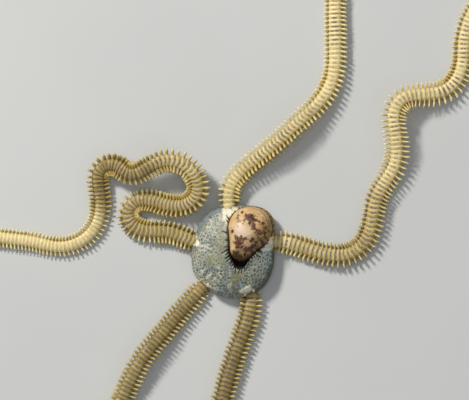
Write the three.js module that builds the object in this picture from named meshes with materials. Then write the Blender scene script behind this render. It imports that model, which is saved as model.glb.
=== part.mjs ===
// Long-armed brittle star, life size, in millimetres, +Z up.
// The origin is on the floor under the middle of the disc, on the flat of its mouth side.
// The animal lies mouth down: a swollen disc with a puckered slit on top, from which a rounded
// bulge stands out, and five very long arms that sprawl over the floor, one of them looped.

import * as THREE from 'three';

// ---------------------------------------------------------------- driving sizes (mm, degrees)
const DISC_RX = 5.74;            // half width of the disc
const DISC_RY = 6.39;            // half length of the disc
const DISC_Y = -0.07;            // its centre
const DISC_TOP = 3.35;           // height of the middle of the back
const DISC_LOW = 0.62;           // its flat underside, above the mouth side
const DISC_BELT = 1.45;          // height of the widest line
const DISC_SIDES = 72;           // facets round the disc
// the margin's lobes: the swollen sector by the bulge, then the full sectors between the arms
const LOBES = [
  { at: 46, width: 26, height: 1.42 },
  { at: 312, width: 34, height: 0.46 },
  { at: 212, width: 20, height: 0.32 },
  { at: 116, width: 22, height: 0.24 },
];
const NOTCH = { depth: 0.28, width: 9 };               // dent of the margin at each arm
const ARM_AZIMUTHS = { right: 13.4, up: 95.4, left: 163.6, lower_left: 228, bottom: 292.8 };

// the bulge: an egg-shaped plan, the hull of a big and a small circle
const BULGE_BIG = { x: 2.5, y: 3.1, r: 2.99 };
const BULGE_SMALL = { x: 1.3, y: 0.12, r: 1.66 };
const BULGE_TOP = 4.75;
const BULGE_BELT = 2.35;
const BULGE_FLOOR = 1.3;
// the slit that it stands in reaches further towards the middle of the disc
const SLIT_TAIL = { x: 1.2, y: -1.68, r: 0.76 };
const SLIT_FLOOR = 1.12;
const SLIT_GAP = 0.16;

// the mouth side of the disc, a thin plate under it
const MOUTH_THICK = 0.5;

// the arms: size over the spine tips, and how it falls towards the tip
const ARM_HALF = 1.66;           // half width over the spine tips
const ARM_HIGH = 1.46;           // height
const TAPER_POWER = 2.6;
const TAPER_LOSS = 0.88;
const TIP_HALF = 0.26;           // least half width and
const TIP_HIGH = 0.5;            // least height of the solids
const ARM_LENGTHS = 8;           // lengths that each arm is divided into
const LENGTH_GAP = 0.18;         // clear cut between two lengths
const RING_STEP = 1.45;          // spacing of the cross-sections
const BEND_BLEND = 1.6;          // bends run into each other over this length
const ROOT_GAP = 0.2;            // clear cut between the disc and an arm

// Each arm: where it leaves the disc, its direction there, its bends as [length, turn in degrees],
// and where it is lifted off the floor, as [from, to, height].
const ARMS = {
  left: {
    start: [-5.42, 1.4], heading: 153.6,
    bends: [
      [3.06, 9.8], [3.06, 19.2], [2.55, -30.9], [2.55, -69], [2.55, -78.2], [2.55, -24.1], [2.55, 11.6], [2.55, 44.6],
      [2.55, 63.3], [2.55, 38], [2.55, 32.3], [2.55, 37.4], [2.55, 1.3], [2.55, -78], [2.55, 58.5], [2.55, 86.4],
      [2.55, 2.6], [2.55, -18.3], [3.06, -33.8], [3.26, -33.8], [3.26, -27.4], [3.26, 7.9], [3.26, 0.6], [4, -1.1],
      [5, -23.1], [6, -42.1], [6, -37.9], [6, -15.6], [6, 30.4], [6, 46], [6, 29.6], [6, -24.5],
      [5, -44], [5, -33.8], [4, -13.8],
    ],
    lifts: [[13, 46, 2.3], [86, 106, 1.0]],
  },
  up: {
    start: [-0.62, 6.62], heading: 95.3,
    bends: [
      [1.9, -16.6], [2.09, -29.9], [2.28, -9.6], [3.8, -2.4], [3.8, 7.9], [3.8, -2], [3.8, 17.5], [2.85, 19.9],
      [2.85, 10.6], [3.8, 1], [3.8, -2.8], [6, 3.6], [5, 20.3], [6, 46.2], [6, 31.4], [6, 9.3],
      [6, -30.9], [6, -37.5], [6, 3.3], [6, 46.5], [6, 35.1], [6, -9.1], [6, -40.3], [6, -31.3],
      [5, 11.2], [5, 38.4],
    ],
    lifts: [[2, 26, 1.1], [62, 86, 1.5]],
  },
  right: {
    start: [6.1, 1.43], heading: -2.7,
    bends: [
      [2.68, -16.5], [3.12, 2.6], [3.12, 14.5], [2.14, 30.6], [2.14, 29.3], [2.14, 20.3], [2.68, 4.3], [2.68, -22.3],
      [2.68, -2.7], [3.57, 35.9], [3.57, 7.1], [2.68, -38.3], [1.78, -43.6], [1.96, -15.3], [2.68, 12.9], [2.14, 32.6],
      [2.14, 25], [2.68, 17.3], [2.68, -11.1], [2.68, -14.9], [5, -14.6], [5, -28.8], [5, -50.6], [6, -42.2],
      [7, -32.3], [7, -8.5], [6, 27.5], [6, 26.5], [7, -13.4], [6, -33.8], [5, -22.5], [5, 9.4],
      [4, 21.8],
    ],
    lifts: [[20, 44, 1.3], [66, 90, 1.2]],
  },
  bottom: {
    start: [2.6, -6], heading: -88.3,
    bends: [
      [3.05, -16.5], [3.05, -6.1], [3.05, 2.6], [3.05, 4.2], [3.05, 0.2], [5, 5], [5, 14.8], [6, 38.2],
      [6, 45.9], [6, 34.1], [6, -3.9], [6, -36], [6, -34], [6, -6.1], [6, 31.9], [6, 40],
      [6, 4.1], [6, -37.9], [6, -46], [6, -42], [6, -42], [5, -38], [4, -20.1],
    ],
    lifts: [[46, 72, 1.6]],
  },
  lower_left: {
    start: [-4.46, -5.15], heading: -130.4,
    bends: [
      [3.37, -1], [3.37, 3.9], [3.37, -3.7], [4.5, 13.2], [4.5, 5.4], [6, 0.3], [6, -9.7], [6, -36.1],
      [6, -42], [6, -18.1], [6, 26], [6, 32], [6, 2], [6, -40], [6, -46], [6, -38],
      [6, -24], [6, 8], [6, 36], [6, 30], [5, 10], [5, -24], [4, -30],
    ],
    lifts: [[3, 22, 0.8], [58, 84, 1.6]],
  },
};

const skinBlue = new THREE.MeshStandardMaterial({ color: 0x9fb0b4, roughness: 0.5, metalness: 0 });
const bulgePeach = new THREE.MeshStandardMaterial({ color: 0xd6a887, roughness: 0.28, metalness: 0 });
const mouthCream = new THREE.MeshStandardMaterial({ color: 0xd9cfae, roughness: 0.6, metalness: 0 });
const armTan = new THREE.MeshStandardMaterial({ color: 0xd8c48e, roughness: 0.5, metalness: 0 });

const rad = THREE.MathUtils.degToRad;

// ---------------------------------------------------------------- solids from faces
function solid(points, faces) {
  const g = new THREE.BufferGeometry();
  g.setAttribute('position', new THREE.Float32BufferAttribute(points.flat(), 3));
  g.setIndex(faces.flat());
  return g;
}

// rings of equal count, closed by a fan round the middle of each end
function loft(rings, outwards = true) {
  const n = rings[0].length;
  const points = rings.flat();
  const middle = (r) => [0, 1, 2].map((k) => r.reduce((sum, p) => sum + p[k], 0) / n);
  const faces = [];
  for (let r = 0; r + 1 < rings.length; r++) {
    for (let i = 0; i < n; i++) {
      const a = r * n + i, b = r * n + (i + 1) % n, c = a + n, d = b + n;
      faces.push([a, b, d], [a, d, c]);
    }
  }
  const last = (rings.length - 1) * n, low = points.length;
  points.push(middle(rings[0]), middle(rings[rings.length - 1]));
  for (let i = 0; i < n; i++) {
    faces.push([low, (i + 1) % n, i]);
    faces.push([low + 1, last + i, last + (i + 1) % n]);
  }
  return solid(points, outwards ? faces : faces.map((f) => [f[0], f[2], f[1]]));
}

// ---------------------------------------------------------------- the disc's plan
function angleGap(a, b) {
  return Math.abs(((a - b + 540) % 360) - 180);
}
function discRadius(deg) {
  const c = Math.cos(rad(deg)), s = Math.sin(rad(deg));
  let r = 1 / Math.sqrt((c / DISC_RX) ** 2 + (s / DISC_RY) ** 2);
  for (const lobe of LOBES) r += lobe.height * Math.exp(-((angleGap(deg, lobe.at) / lobe.width) ** 2));
  for (const at of Object.values(ARM_AZIMUTHS)) {
    r -= NOTCH.depth * Math.exp(-((angleGap(deg, at) / NOTCH.width) ** 2));
  }
  return r;
}

// distance outside the hull of two circles
function eggDistance(x, y, big, small) {
  const dx = small.x - big.x, dy = small.y - big.y, h = Math.hypot(dx, dy);
  const px = x - big.x, py = y - big.y;
  const v = (px * dx + py * dy) / h, u = Math.abs((px * dy - py * dx) / h);
  const b = (big.r - small.r) / h, a = Math.sqrt(1 - b * b), k = -b * u + a * v;
  if (k < 0) return Math.hypot(u, v) - big.r;
  if (k > a * h) return Math.hypot(u, v - h) - small.r;
  return u * a + v * b - big.r;
}
function eggRadius(deg, centre, test) {
  let lo = 0, hi = 12;
  for (let i = 0; i < 40; i++) {
    const m = (lo + hi) / 2;
    if (test(centre[0] + m * Math.cos(rad(deg)), centre[1] + m * Math.sin(rad(deg))) < 0) lo = m;
    else hi = m;
  }
  return lo;
}

function ring(count, z, radius, centre, scale) {
  const out = [];
  for (let i = 0; i < count; i++) {
    const deg = 360 * i / count, r = radius(deg) * scale;
    out.push([centre[0] + r * Math.cos(rad(deg)), centre[1] + r * Math.sin(rad(deg)), z]);
  }
  return out;
}

// ---------------------------------------------------------------- disc, bulge and mouth side
const BULGE_CENTRE = [2.05, 2.1];
const SLIT_CENTRE = [1.75, 1.1];
const slitTest = (x, y) => Math.min(
  eggDistance(x, y, BULGE_BIG, BULGE_SMALL),
  eggDistance(x, y, BULGE_SMALL, SLIT_TAIL),
) - SLIT_GAP;

// how far out a point of the plan is, 0 in the middle and 1 at the margin
function reach(x, y) {
  const r = Math.hypot(x, y - DISC_Y);
  return r / discRadius(THREE.MathUtils.radToDeg(Math.atan2(y - DISC_Y, x)));
}
function backHeight(rho) {
  return DISC_BELT + (DISC_TOP - DISC_BELT) * (1 - Math.min(1, rho) ** 3.2) ** 0.62;
}

// The disc is one loft round the middle of the slit: the slit's floor, its wall, the back out to
// the margin, and the side down to a flat underside.
function discSolid() {
  const [cx, cy] = SLIT_CENTRE;
  const inner = (deg) => eggRadius(deg, SLIT_CENTRE, slitTest);
  const outer = (deg) => eggRadius(deg, SLIT_CENTRE, (x, y) => reach(x, y) - 1);
  const n = DISC_SIDES;
  const make = (radius, height) => {
    const out = [];
    for (let i = 0; i < n; i++) {
      const deg = 360 * i / n, r = radius(deg);
      const x = cx + r * Math.cos(rad(deg)), y = cy + r * Math.sin(rad(deg));
      out.push([x, y, height(x, y)]);
    }
    return out;
  };
  const rings = [make((d) => inner(d) * 0.86, () => SLIT_FLOOR)];
  for (const t of [0, 0.12, 0.36, 0.62, 0.84, 0.95]) {
    rings.push(make((d) => inner(d) + (outer(d) - inner(d)) * t, (x, y) => backHeight(reach(x, y))));
  }
  rings.push(make(outer, () => DISC_BELT));
  rings.push(make((d) => outer(d) - 0.12, () => DISC_BELT * 0.62 + DISC_LOW * 0.38));
  rings.push(make((d) => outer(d) - 0.5, () => DISC_LOW));
  return loft(rings, false);
}

function bulgeSolid() {
  const radius = (deg) => eggRadius(deg, BULGE_CENTRE, (x, y) => eggDistance(x, y, BULGE_BIG, BULGE_SMALL));
  const rings = [];
  for (const [rho, t] of [[0.72, 0], [0.92, 0.4], [1, 1]]) {
    rings.push(ring(36, BULGE_FLOOR + (BULGE_BELT - BULGE_FLOOR) * t, radius, BULGE_CENTRE, rho));
  }
  for (const rho of [0.95, 0.84, 0.66, 0.42, 0.16]) {
    rings.push(ring(36, BULGE_BELT + (BULGE_TOP - BULGE_BELT) * Math.sqrt(1 - rho * rho), radius, BULGE_CENTRE, rho));
  }
  return loft(rings);
}

// the mouth side: the jaws in the middle and the soft skin between the arms, on one flat
function mouthSolid() {
  const rings = [];
  for (const [rho, z] of [[0.78, 0], [0.86, 0.14], [0.88, MOUTH_THICK]]) rings.push(ring(50, z, discRadius, [0, DISC_Y], rho));
  return loft(rings);
}

// ---------------------------------------------------------------- arms
const WALK = 0.05;
function armPath(arm) {
  const total = arm.bends.reduce((s, b) => s + b[0], 0);
  const n = Math.round(total / WALK);
  const curve = new Array(n).fill(0);
  let from = 0;
  for (const [len, turn] of arm.bends) {
    for (let i = 0; i < n; i++) {
      const s = (i + 0.5) * WALK;
      if (s >= from && s < from + len) curve[i] = rad(turn) / len;
    }
    from += len;
  }
  // bends run into each other: a moving mean over BEND_BLEND
  const w = Math.round(BEND_BLEND / WALK);
  const at = (i) => curve[Math.min(n - 1, Math.max(0, i))];
  const soft = curve.map((_, i) => {
    let sum = 0;
    for (let j = 0; j < w; j++) sum += at(i + j - Math.floor(w / 2));
    return sum / w;
  });
  const x = [arm.start[0]], y = [arm.start[1]], h = [rad(arm.heading)];
  for (let i = 0; i < n; i++) {
    const h2 = h[i] + soft[i] * WALK, m = (h[i] + h2) / 2;
    x.push(x[i] + Math.cos(m) * WALK);
    y.push(y[i] + Math.sin(m) * WALK);
    h.push(h2);
  }
  return {
    total,
    at(s) {
      if (s <= 0) return { x: x[0] + s * Math.cos(h[0]), y: y[0] + s * Math.sin(h[0]), h: h[0], k: 0 };
      const f = Math.min(s / WALK, n - 1e-6), i = Math.floor(f), t = f - i;
      return {
        x: x[i] + (x[i + 1] - x[i]) * t, y: y[i] + (y[i + 1] - y[i]) * t,
        h: h[i] + (h[i + 1] - h[i]) * t, k: soft[Math.min(i, n - 1)],
      };
    },
  };
}

function liftAt(arm, s) {
  let z = 0;
  for (const [from, to, high] of arm.lifts) {
    if (s > from && s < to) z += high * 0.5 * (1 - Math.cos(2 * Math.PI * (s - from) / (to - from)));
  }
  return z;
}

// eight-sided section of an arm, over its spine tips, flat underneath
function armRing(arm, path, s) {
  const p = path.at(s);
  const t = Math.max(0, s / path.total);
  const fall = 1 - TAPER_LOSS * t ** TAPER_POWER;
  const half = Math.max(TIP_HALF, ARM_HALF * fall), high = Math.max(TIP_HIGH, ARM_HIGH * fall);
  // on the inside of a tight bend the spines crowd together
  const tight = Math.abs(p.k) > 1e-6 ? 0.84 / Math.abs(p.k) : Infinity;
  const side = (v) => (v * p.k > 0 ? Math.min(half, tight) : half);
  const z = liftAt(arm, s);
  return [[-0.62, 0], [0.62, 0], [1, 0.2], [1, 0.78], [0.5, 1], [-0.5, 1], [-1, 0.78], [-1, 0.2]].map(([u, v]) => {
    // u is positive to the right of the way the arm runs
    const w = u * side(-u);
    return [p.x + w * Math.sin(p.h), p.y - w * Math.cos(p.h), z + v * high];
  });
}

function armLength(arm, path, from, to) {
  const steps = Math.max(3, Math.round((to - from) / RING_STEP));
  const rings = [];
  for (let i = 0; i <= steps; i++) rings.push(armRing(arm, path, from + (to - from) * i / steps));
  return loft(rings, false);
}

// ---------------------------------------------------------------- the animal
const group = new THREE.Group();
function add(parent, name, geometry, material) {
  geometry.computeVertexNormals();
  const mesh = new THREE.Mesh(geometry, material);
  mesh.name = name;
  parent.add(mesh);
}

add(group, 'disc', discSolid(), skinBlue);
add(group, 'disc_bulge', bulgeSolid(), bulgePeach);
add(group, 'mouth_side', mouthSolid(), mouthCream);

for (const [name, arm] of Object.entries(ARMS)) {
  const path = armPath(arm);
  const limb = new THREE.Group();
  // the first length starts just outside the disc's margin
  let root = -1.2;
  const clear = (s) => {
    const p = path.at(s);
    let least = Infinity;
    for (const v of [-1, -0.5, 0, 0.5, 1]) {
      const x = p.x + v * ARM_HALF * Math.sin(p.h), y = p.y - v * ARM_HALF * Math.cos(p.h) - DISC_Y;
      const deg = THREE.MathUtils.radToDeg(Math.atan2(y, x));
      least = Math.min(least, Math.hypot(x, y) - discRadius(deg));
    }
    return least;
  };
  while (clear(root) < ROOT_GAP) root += 0.02;
  const span = (path.total - root) / ARM_LENGTHS;
  for (let i = 0; i < ARM_LENGTHS; i++) {
    const from = root + span * i + (i ? LENGTH_GAP / 2 : 0);
    const to = root + span * (i + 1) - (i + 1 < ARM_LENGTHS ? LENGTH_GAP / 2 : 0);
    add(limb, `arm_${name}_${i + 1}`, armLength(arm, path, from, to), armTan);
  }
  group.add(limb);
}

export default group;
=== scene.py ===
# A long-armed brittle star as a still, life-size model. All shapes are worked out in millimetres
# from named sizes and functions, and go into Blender in metres.
import functools
import math
import bpy
import numpy as np
from mathutils import Matrix, Vector


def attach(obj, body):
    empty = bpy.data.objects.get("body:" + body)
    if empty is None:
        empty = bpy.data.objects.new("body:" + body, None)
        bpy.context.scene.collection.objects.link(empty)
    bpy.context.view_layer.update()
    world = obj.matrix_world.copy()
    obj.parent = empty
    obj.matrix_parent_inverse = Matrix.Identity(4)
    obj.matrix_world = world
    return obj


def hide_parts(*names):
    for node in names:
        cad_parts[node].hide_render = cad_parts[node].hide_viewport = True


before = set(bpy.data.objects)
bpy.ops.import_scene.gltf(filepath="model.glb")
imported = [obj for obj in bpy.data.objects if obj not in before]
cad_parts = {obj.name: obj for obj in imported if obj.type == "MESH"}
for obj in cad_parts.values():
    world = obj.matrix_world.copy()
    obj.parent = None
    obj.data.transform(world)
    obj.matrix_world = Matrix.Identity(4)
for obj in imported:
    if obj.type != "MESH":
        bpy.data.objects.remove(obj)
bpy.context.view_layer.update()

RNG = np.random.RandomState(20417)
SCN = bpy.context.scene

# ------------------------------------------------------------------ sizes shared with the solids
DISC_RX, DISC_RY, DISC_Y = 5.74, 6.39, -0.07
DISC_TOP, DISC_LOW, DISC_BELT = 3.35, 0.62, 1.45
LOBES = ((46.0, 26.0, 1.42), (312.0, 34.0, 0.46), (212.0, 20.0, 0.32), (116.0, 22.0, 0.24))   # where, width, height
NOTCH_DEPTH, NOTCH_WIDTH = 0.28, 9.0
AZIMUTH = {"right": 13.4, "up": 95.4, "left": 163.6, "lower_left": 228.0, "bottom": 292.8}
BULGE_BIG, BULGE_SMALL, SLIT_TAIL = (2.5, 3.1, 2.99), (1.3, 0.12, 1.66), (1.2, -1.68, 0.76)
BULGE_TOP, BULGE_BELT, BULGE_FLOOR = 4.75, 2.35, 1.3
BULGE_CENTRE, SLIT_CENTRE = (2.05, 2.1), (1.75, 1.1)
SLIT_GAP, SLIT_FLOOR = 0.16, 1.2
ARM_HALF, TAPER_POWER, TAPER_LOSS = 1.66, 2.6, 0.88
WALK, BEND_BLEND = 0.05, 1.6

ARMS = {
    "left": dict(
        start=(-5.42, 1.4), heading=153.6,
        bends=[
            (3.06, 9.8), (3.06, 19.2), (2.55, -30.9), (2.55, -69), (2.55, -78.2), (2.55, -24.1), (2.55, 11.6),
            (2.55, 44.6), (2.55, 63.3), (2.55, 38), (2.55, 32.3), (2.55, 37.4), (2.55, 1.3), (2.55, -78),
            (2.55, 58.5), (2.55, 86.4), (2.55, 2.6), (2.55, -18.3), (3.06, -33.8), (3.26, -33.8), (3.26, -27.4),
            (3.26, 7.9), (3.26, 0.6), (4, -1.1), (5, -23.1), (6, -42.1), (6, -37.9), (6, -15.6),
            (6, 30.4), (6, 46), (6, 29.6), (6, -24.5), (5, -44), (5, -33.8), (4, -13.8),
        ],
        lifts=[(13, 46, 2.3), (86, 106, 1.0)],
    ),
    "up": dict(
        start=(-0.62, 6.62), heading=95.3,
        bends=[
            (1.9, -16.6), (2.09, -29.9), (2.28, -9.6), (3.8, -2.4), (3.8, 7.9), (3.8, -2), (3.8, 17.5),
            (2.85, 19.9), (2.85, 10.6), (3.8, 1), (3.8, -2.8), (6, 3.6), (5, 20.3), (6, 46.2),
            (6, 31.4), (6, 9.3), (6, -30.9), (6, -37.5), (6, 3.3), (6, 46.5), (6, 35.1),
            (6, -9.1), (6, -40.3), (6, -31.3), (5, 11.2), (5, 38.4),
        ],
        lifts=[(2, 26, 1.1), (62, 86, 1.5)],
    ),
    "right": dict(
        start=(6.1, 1.43), heading=-2.7,
        bends=[
            (2.68, -16.5), (3.12, 2.6), (3.12, 14.5), (2.14, 30.6), (2.14, 29.3), (2.14, 20.3), (2.68, 4.3),
            (2.68, -22.3), (2.68, -2.7), (3.57, 35.9), (3.57, 7.1), (2.68, -38.3), (1.78, -43.6), (1.96, -15.3),
            (2.68, 12.9), (2.14, 32.6), (2.14, 25), (2.68, 17.3), (2.68, -11.1), (2.68, -14.9), (5, -14.6),
            (5, -28.8), (5, -50.6), (6, -42.2), (7, -32.3), (7, -8.5), (6, 27.5), (6, 26.5),
            (7, -13.4), (6, -33.8), (5, -22.5), (5, 9.4), (4, 21.8),
        ],
        lifts=[(20, 44, 1.3), (66, 90, 1.2)],
    ),
    "bottom": dict(
        start=(2.6, -6), heading=-88.3,
        bends=[
            (3.05, -16.5), (3.05, -6.1), (3.05, 2.6), (3.05, 4.2), (3.05, 0.2), (5, 5), (5, 14.8),
            (6, 38.2), (6, 45.9), (6, 34.1), (6, -3.9), (6, -36), (6, -34), (6, -6.1),
            (6, 31.9), (6, 40), (6, 4.1), (6, -37.9), (6, -46), (6, -42), (6, -42),
            (5, -38), (4, -20.1),
        ],
        lifts=[(46, 72, 1.6)],
    ),
    "lower_left": dict(
        start=(-4.46, -5.15), heading=-130.4,
        bends=[
            (3.37, -1), (3.37, 3.9), (3.37, -3.7), (4.5, 13.2), (4.5, 5.4), (6, 0.3), (6, -9.7),
            (6, -36.1), (6, -42), (6, -18.1), (6, 26), (6, 32), (6, 2), (6, -40),
            (6, -46), (6, -38), (6, -24), (6, 8), (6, 36), (6, 30), (5, 10),
            (5, -24), (4, -30),
        ],
        lifts=[(3, 22, 0.8), (58, 84, 1.6)],
    ),
}

# ------------------------------------------------------------------ sizes of the finish (mm)
CORE_HALF, CORE_HIGH = 0.91, 1.20     # an arm without its spines
CORE_ROUND, CORE_FLAT = 2.5, 3.6      # how square its back and its underside are
CORE_CLEAR = 0.03                     # from the floor
PITCH_LOSS = 0.3                      # how much the joints shorten towards an arm's tip
PITCHES = {                           # spacing of the joints, at places along each arm
    "left": ((0, 0.62), (17, 0.57), (20, 0.54), (23, 0.54), (25.5, 0.63), (28, 0.66), (31, 0.60), (34, 0.51), (38, 0.51), (42, 0.60), (45, 0.63), (48, 0.57), (75, 0.57)),
    "up": ((0, 0.65), (6, 0.63), (10, 0.60), (14, 0.60), (18, 0.65), (21, 0.69), (25, 0.69), (29, 0.64), (34, 0.61)),
    "right": ((0, 0.66), (6, 0.65), (9.5, 0.60), (14, 0.67), (20, 0.66), (25, 0.63), (30, 0.61), (36, 0.62), (40, 0.665), (55, 0.65)),
    "bottom": ((0, 0.655), (14, 0.64)),
    "lower_left": ((0, 0.61), (20, 0.62)),
}
SWEEPS = {                            # how far, in joints, the sides of a joint run ahead of its midline
    "left": ((0, 0.42), (16, 0.25), (22, 0.45), (29, 0.48), (34, 0.20), (45, 0.15), (70, 0.2)),
    "up": ((0, 0.12), (6, 0.28), (10, 0.46), (14, 0.60), (20, 0.60), (23, 0.32), (27, 0.12), (50, 0.2)),
    "right": ((0, 0.15), (8, 0.28), (11, 0.52), (17, 0.42), (21, 0.12), (40, 0.15), (60, 0.2)),
    "bottom": ((0, 0.08), (8, 0.30), (30, 0.2)),
    "lower_left": ((0, 0.12), (20, 0.2)),
}
SPINE_LENGTH, SPINE_THICK = 0.79, 0.325
# partly the arms' own tone, partly painted light and shade: paler on the outer stretches of the up, right and left arms
# and at the right arm's base against the bulge's shadow, darker on the bottom and lower left arms
PALE = {                              # how pale the plates are, 0 to 1, at places along each arm
    "left": ((0, 0.25), (18, 0.14), (23, 0.36), (25.5, 0.5), (29, 0.46), (31.5, 0.12), (33, 0.06), (43, 0.0), (45, 0.1), (47.5, 0.95), (60, 1.0), (90, 0.7)),
    "up": ((0, 0.62), (6, 0.46), (15, 0.48), (20, 0.72), (26, 0.95), (36, 1.0), (60, 0.7)),
    "right": ((0, 0.75), (2.2, 0.50), (4, 0.36), (8, 0.20), (18, 0.34), (24, 0.76), (45, 0.85), (70, 0.7)),
    "bottom": ((0, 0.20), (6, 0.0), (16, 0.0), (30, 0.4), (60, 0.6)),
    "lower_left": ((0, 0.12), (8, 0.0), (30, 0.4), (60, 0.6)),
}
LENSES = {                            # how strong the dark lens of each back plate is
    "left": ((0, 0.55), (16, 0.6), (19, 0.85), (24, 0.8), (25.5, 0.55), (31, 0.7), (32, 0.95), (38, 0.9), (40, 0.5), (43, 0.8), (46, 0.65), (48, 0.08), (66, 0.08), (74, 0.6)),
    "up": ((0, 0.35), (2, 0.55), (7, 0.7), (8, 0.95), (13, 0.95), (14.5, 0.6), (21, 0.7), (22.5, 0.42), (27, 0.38), (29, 0.8), (50, 0.8)),
    "right": ((0, 0.8), (4, 0.65), (8.5, 0.9), (10, 0.6), (15.5, 0.6), (16.5, 0.95), (19.5, 0.95), (21, 0.75), (34, 0.7), (36, 0.45), (38.5, 0.2), (40, 0.9), (43, 0.85), (44, 0.1), (45.5, 0.95), (70, 0.7)),
    "bottom": ((0, 0.3), (2, 0.6), (9, 0.6), (12, 0.95), (30, 0.6)),
    "lower_left": ((0, 0.4), (3, 0.6), (30, 0.6)),
}
LEE_SHADE = {                               # painted shade: how much duller each arm is, darkened as if it lay in shadow
    "left": ((0, 0.3), (18, 0.45), (24, 0.35), (27, 0.0), (30, 0.1), (32, 0.3), (38, 0.3), (44, 0.5), (46.5, 0.2), (48, 0.0), (90, 0.0)), "up": ((0, 0.0), (60, 0.0)), "right": ((0, 0.1), (14, 0.05), (24, 0.0), (60, 0.0)),
    "bottom": ((0, 0.5), (4, 0.95), (18, 1.0), (30, 0.3), (60, 0.0)), "lower_left": ((0, 0.6), (6, 0.95), (16, 0.8), (30, 0.2), (60, 0.0)),
}
SHADE_GOLD = {                             # painted shade: how golden the sides and spines are, more on the side turned from the light: place, on the arm's right, on its left
    "left": ((0, 0.5, 0.0), (31, 0.5, 0.0), (32.5, 0.6, 0.0), (38, 0.6, 0.1), (40.5, 0.3, 0.8), (46, 0.3, 0.8), (48, 0.15, 0.1), (90, 0.2, 0.1)),
    "up": ((0, 1.0, 0.0), (14, 0.85, 0.0), (20, 0.45, 0.1), (30, 0.4, 0.1), (60, 0.2, 0.1)),
    "right": ((0, 0.3, 0.1), (8, 0.5, 0.35), (20, 0.6, 0.5), (60, 0.4, 0.4)),
    "bottom": ((0, 0.4, 0.0), (60, 0.2, 0.0)), "lower_left": ((0, 0.3, 0.0), (60, 0.2, 0.0)),
}
SLIM = {                              # how slender and how long the spines are: place, thickness, length
    "left": ((0, 1.0, 1.0), (36, 0.95, 1.0), (45, 0.95, 1.0), (47.5, 0.74, 0.92), (90, 0.8, 0.9)),
    "up": ((0, 1.0, 1.0), (24, 0.95, 1.0), (36, 0.85, 1.0), (60, 0.9, 1.0)),
    "right": ((0, 0.95, 1.0), (8, 0.80, 1.04), (18, 0.72, 1.1), (24, 0.64, 1.2), (40, 0.64, 1.22), (60, 0.8, 1.0)),
    "bottom": ((0, 1.0, 1.0), (60, 0.9, 1.0)), "lower_left": ((0, 0.95, 1.0), (60, 0.9, 1.0)),
}
SKIN_SINK = 0.045                     # how deep the arm's skin lies under its plates


# ------------------------------------------------------------------ the view (mm, degrees)
VIEW_AZIMUTH, VIEW_TILT, VIEW_ROLL, VIEW_FAR = -50.0, 9.0, 0.396, 320.0
VIEW_AIM, VIEW_LENS, VIEW_PIXELS = (0.054, 7.402), 175.1, 469


def view_axes():
    a, t, q = (math.radians(v) for v in (VIEW_AZIMUTH, VIEW_TILT, VIEW_ROLL))
    back = np.array([math.sin(t) * math.cos(a), math.sin(t) * math.sin(a), math.cos(t)])
    right = np.cross([0.0, 1.0, 0.0], back)
    right /= np.linalg.norm(right)
    up = np.cross(back, right)
    return right * math.cos(q) + up * math.sin(q), up * math.cos(q) - right * math.sin(q), back


@functools.lru_cache(maxsize=None)
def px(u, v):
    """Plan place, in mm, of the spot on the animal's back that shows at u, v of the picture's frame."""
    right, up, back = view_axes()
    eye = np.array([*VIEW_AIM, 0.0]) + back * VIEW_FAR
    f = VIEW_LENS / 36.0 * VIEW_PIXELS
    ray = right * (u - 234.5) / f + up * (200.0 - v) / f - back
    z = 3.0
    for _ in range(6):
        x, y = (eye + ray * (z - eye[2]) / ray[2])[:2]
        z = float(back_at(np.array([x]), np.array([y]))[0])
    return x, y


# ------------------------------------------------------------------ noise, the same on every run
def _hash(i, j, k, seed):
    a = (i * 73856093) ^ (j * 19349663) ^ (k * 83492791) ^ (seed * 2654435761)
    a &= 0xFFFFFFFF
    a = ((a ^ (a >> 16)) * 0x45D9F3B) & 0xFFFFFFFF
    a = ((a ^ (a >> 16)) * 0x45D9F3B) & 0xFFFFFFFF
    return (a ^ (a >> 16)) / 4294967295.0


def noise(p, size, seed=0):
    """Smooth noise from -1 to 1 with lumps about that size. p is (n, 2) or (n, 3)."""
    q = np.asarray(p, float) / size
    if q.shape[-1] == 2:
        q = np.concatenate([q, np.zeros(q.shape[:-1] + (1,))], -1)
    f = np.floor(q)
    i = f.astype(np.int64)
    t = q - f
    t = t * t * (3 - 2 * t)
    out = 0
    for a in (0, 1):
        for b in (0, 1):
            for c in (0, 1):
                w = (t[..., 0] if a else 1 - t[..., 0]) * (t[..., 1] if b else 1 - t[..., 1])
                w = w * (t[..., 2] if c else 1 - t[..., 2])
                out = out + w * _hash(i[..., 0] + a, i[..., 1] + b, i[..., 2] + c, seed)
    return out * 2 - 1


def fbm(p, size, seed=0, octaves=3, gain=0.5):
    out, w, total = 0, 1.0, 0.0
    for o in range(octaves):
        out = out + w * noise(p, size / 2**o, seed + 17 * o)
        total += w
        w *= gain
    return out / total


def smooth(x, lo, hi):
    t = np.clip((x - lo) / (hi - lo), 0, 1)
    return t * t * (3 - 2 * t)


def gap(a, b):
    return np.abs((a - b + 540.0) % 360.0 - 180.0)


# ------------------------------------------------------------------ the disc's plan, as in the solids
def disc_radius(deg):
    c, s = np.cos(np.radians(deg)), np.sin(np.radians(deg))
    r = 1 / np.sqrt((c / DISC_RX) ** 2 + (s / DISC_RY) ** 2)
    for at, width, high in LOBES:
        r = r + high * np.exp(-((gap(deg, at) / width) ** 2))
    for at in AZIMUTH.values():
        r = r - NOTCH_DEPTH * np.exp(-((gap(deg, at) / NOTCH_WIDTH) ** 2))
    return r


def azimuth(x, y):
    return np.degrees(np.arctan2(y - DISC_Y, x))


def reach(x, y):
    return np.hypot(x, y - DISC_Y) / disc_radius(azimuth(x, y))


def back_height(rho):
    return DISC_BELT + (DISC_TOP - DISC_BELT) * (1 - np.clip(rho, 0, 1) ** 3.2) ** 0.62


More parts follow.
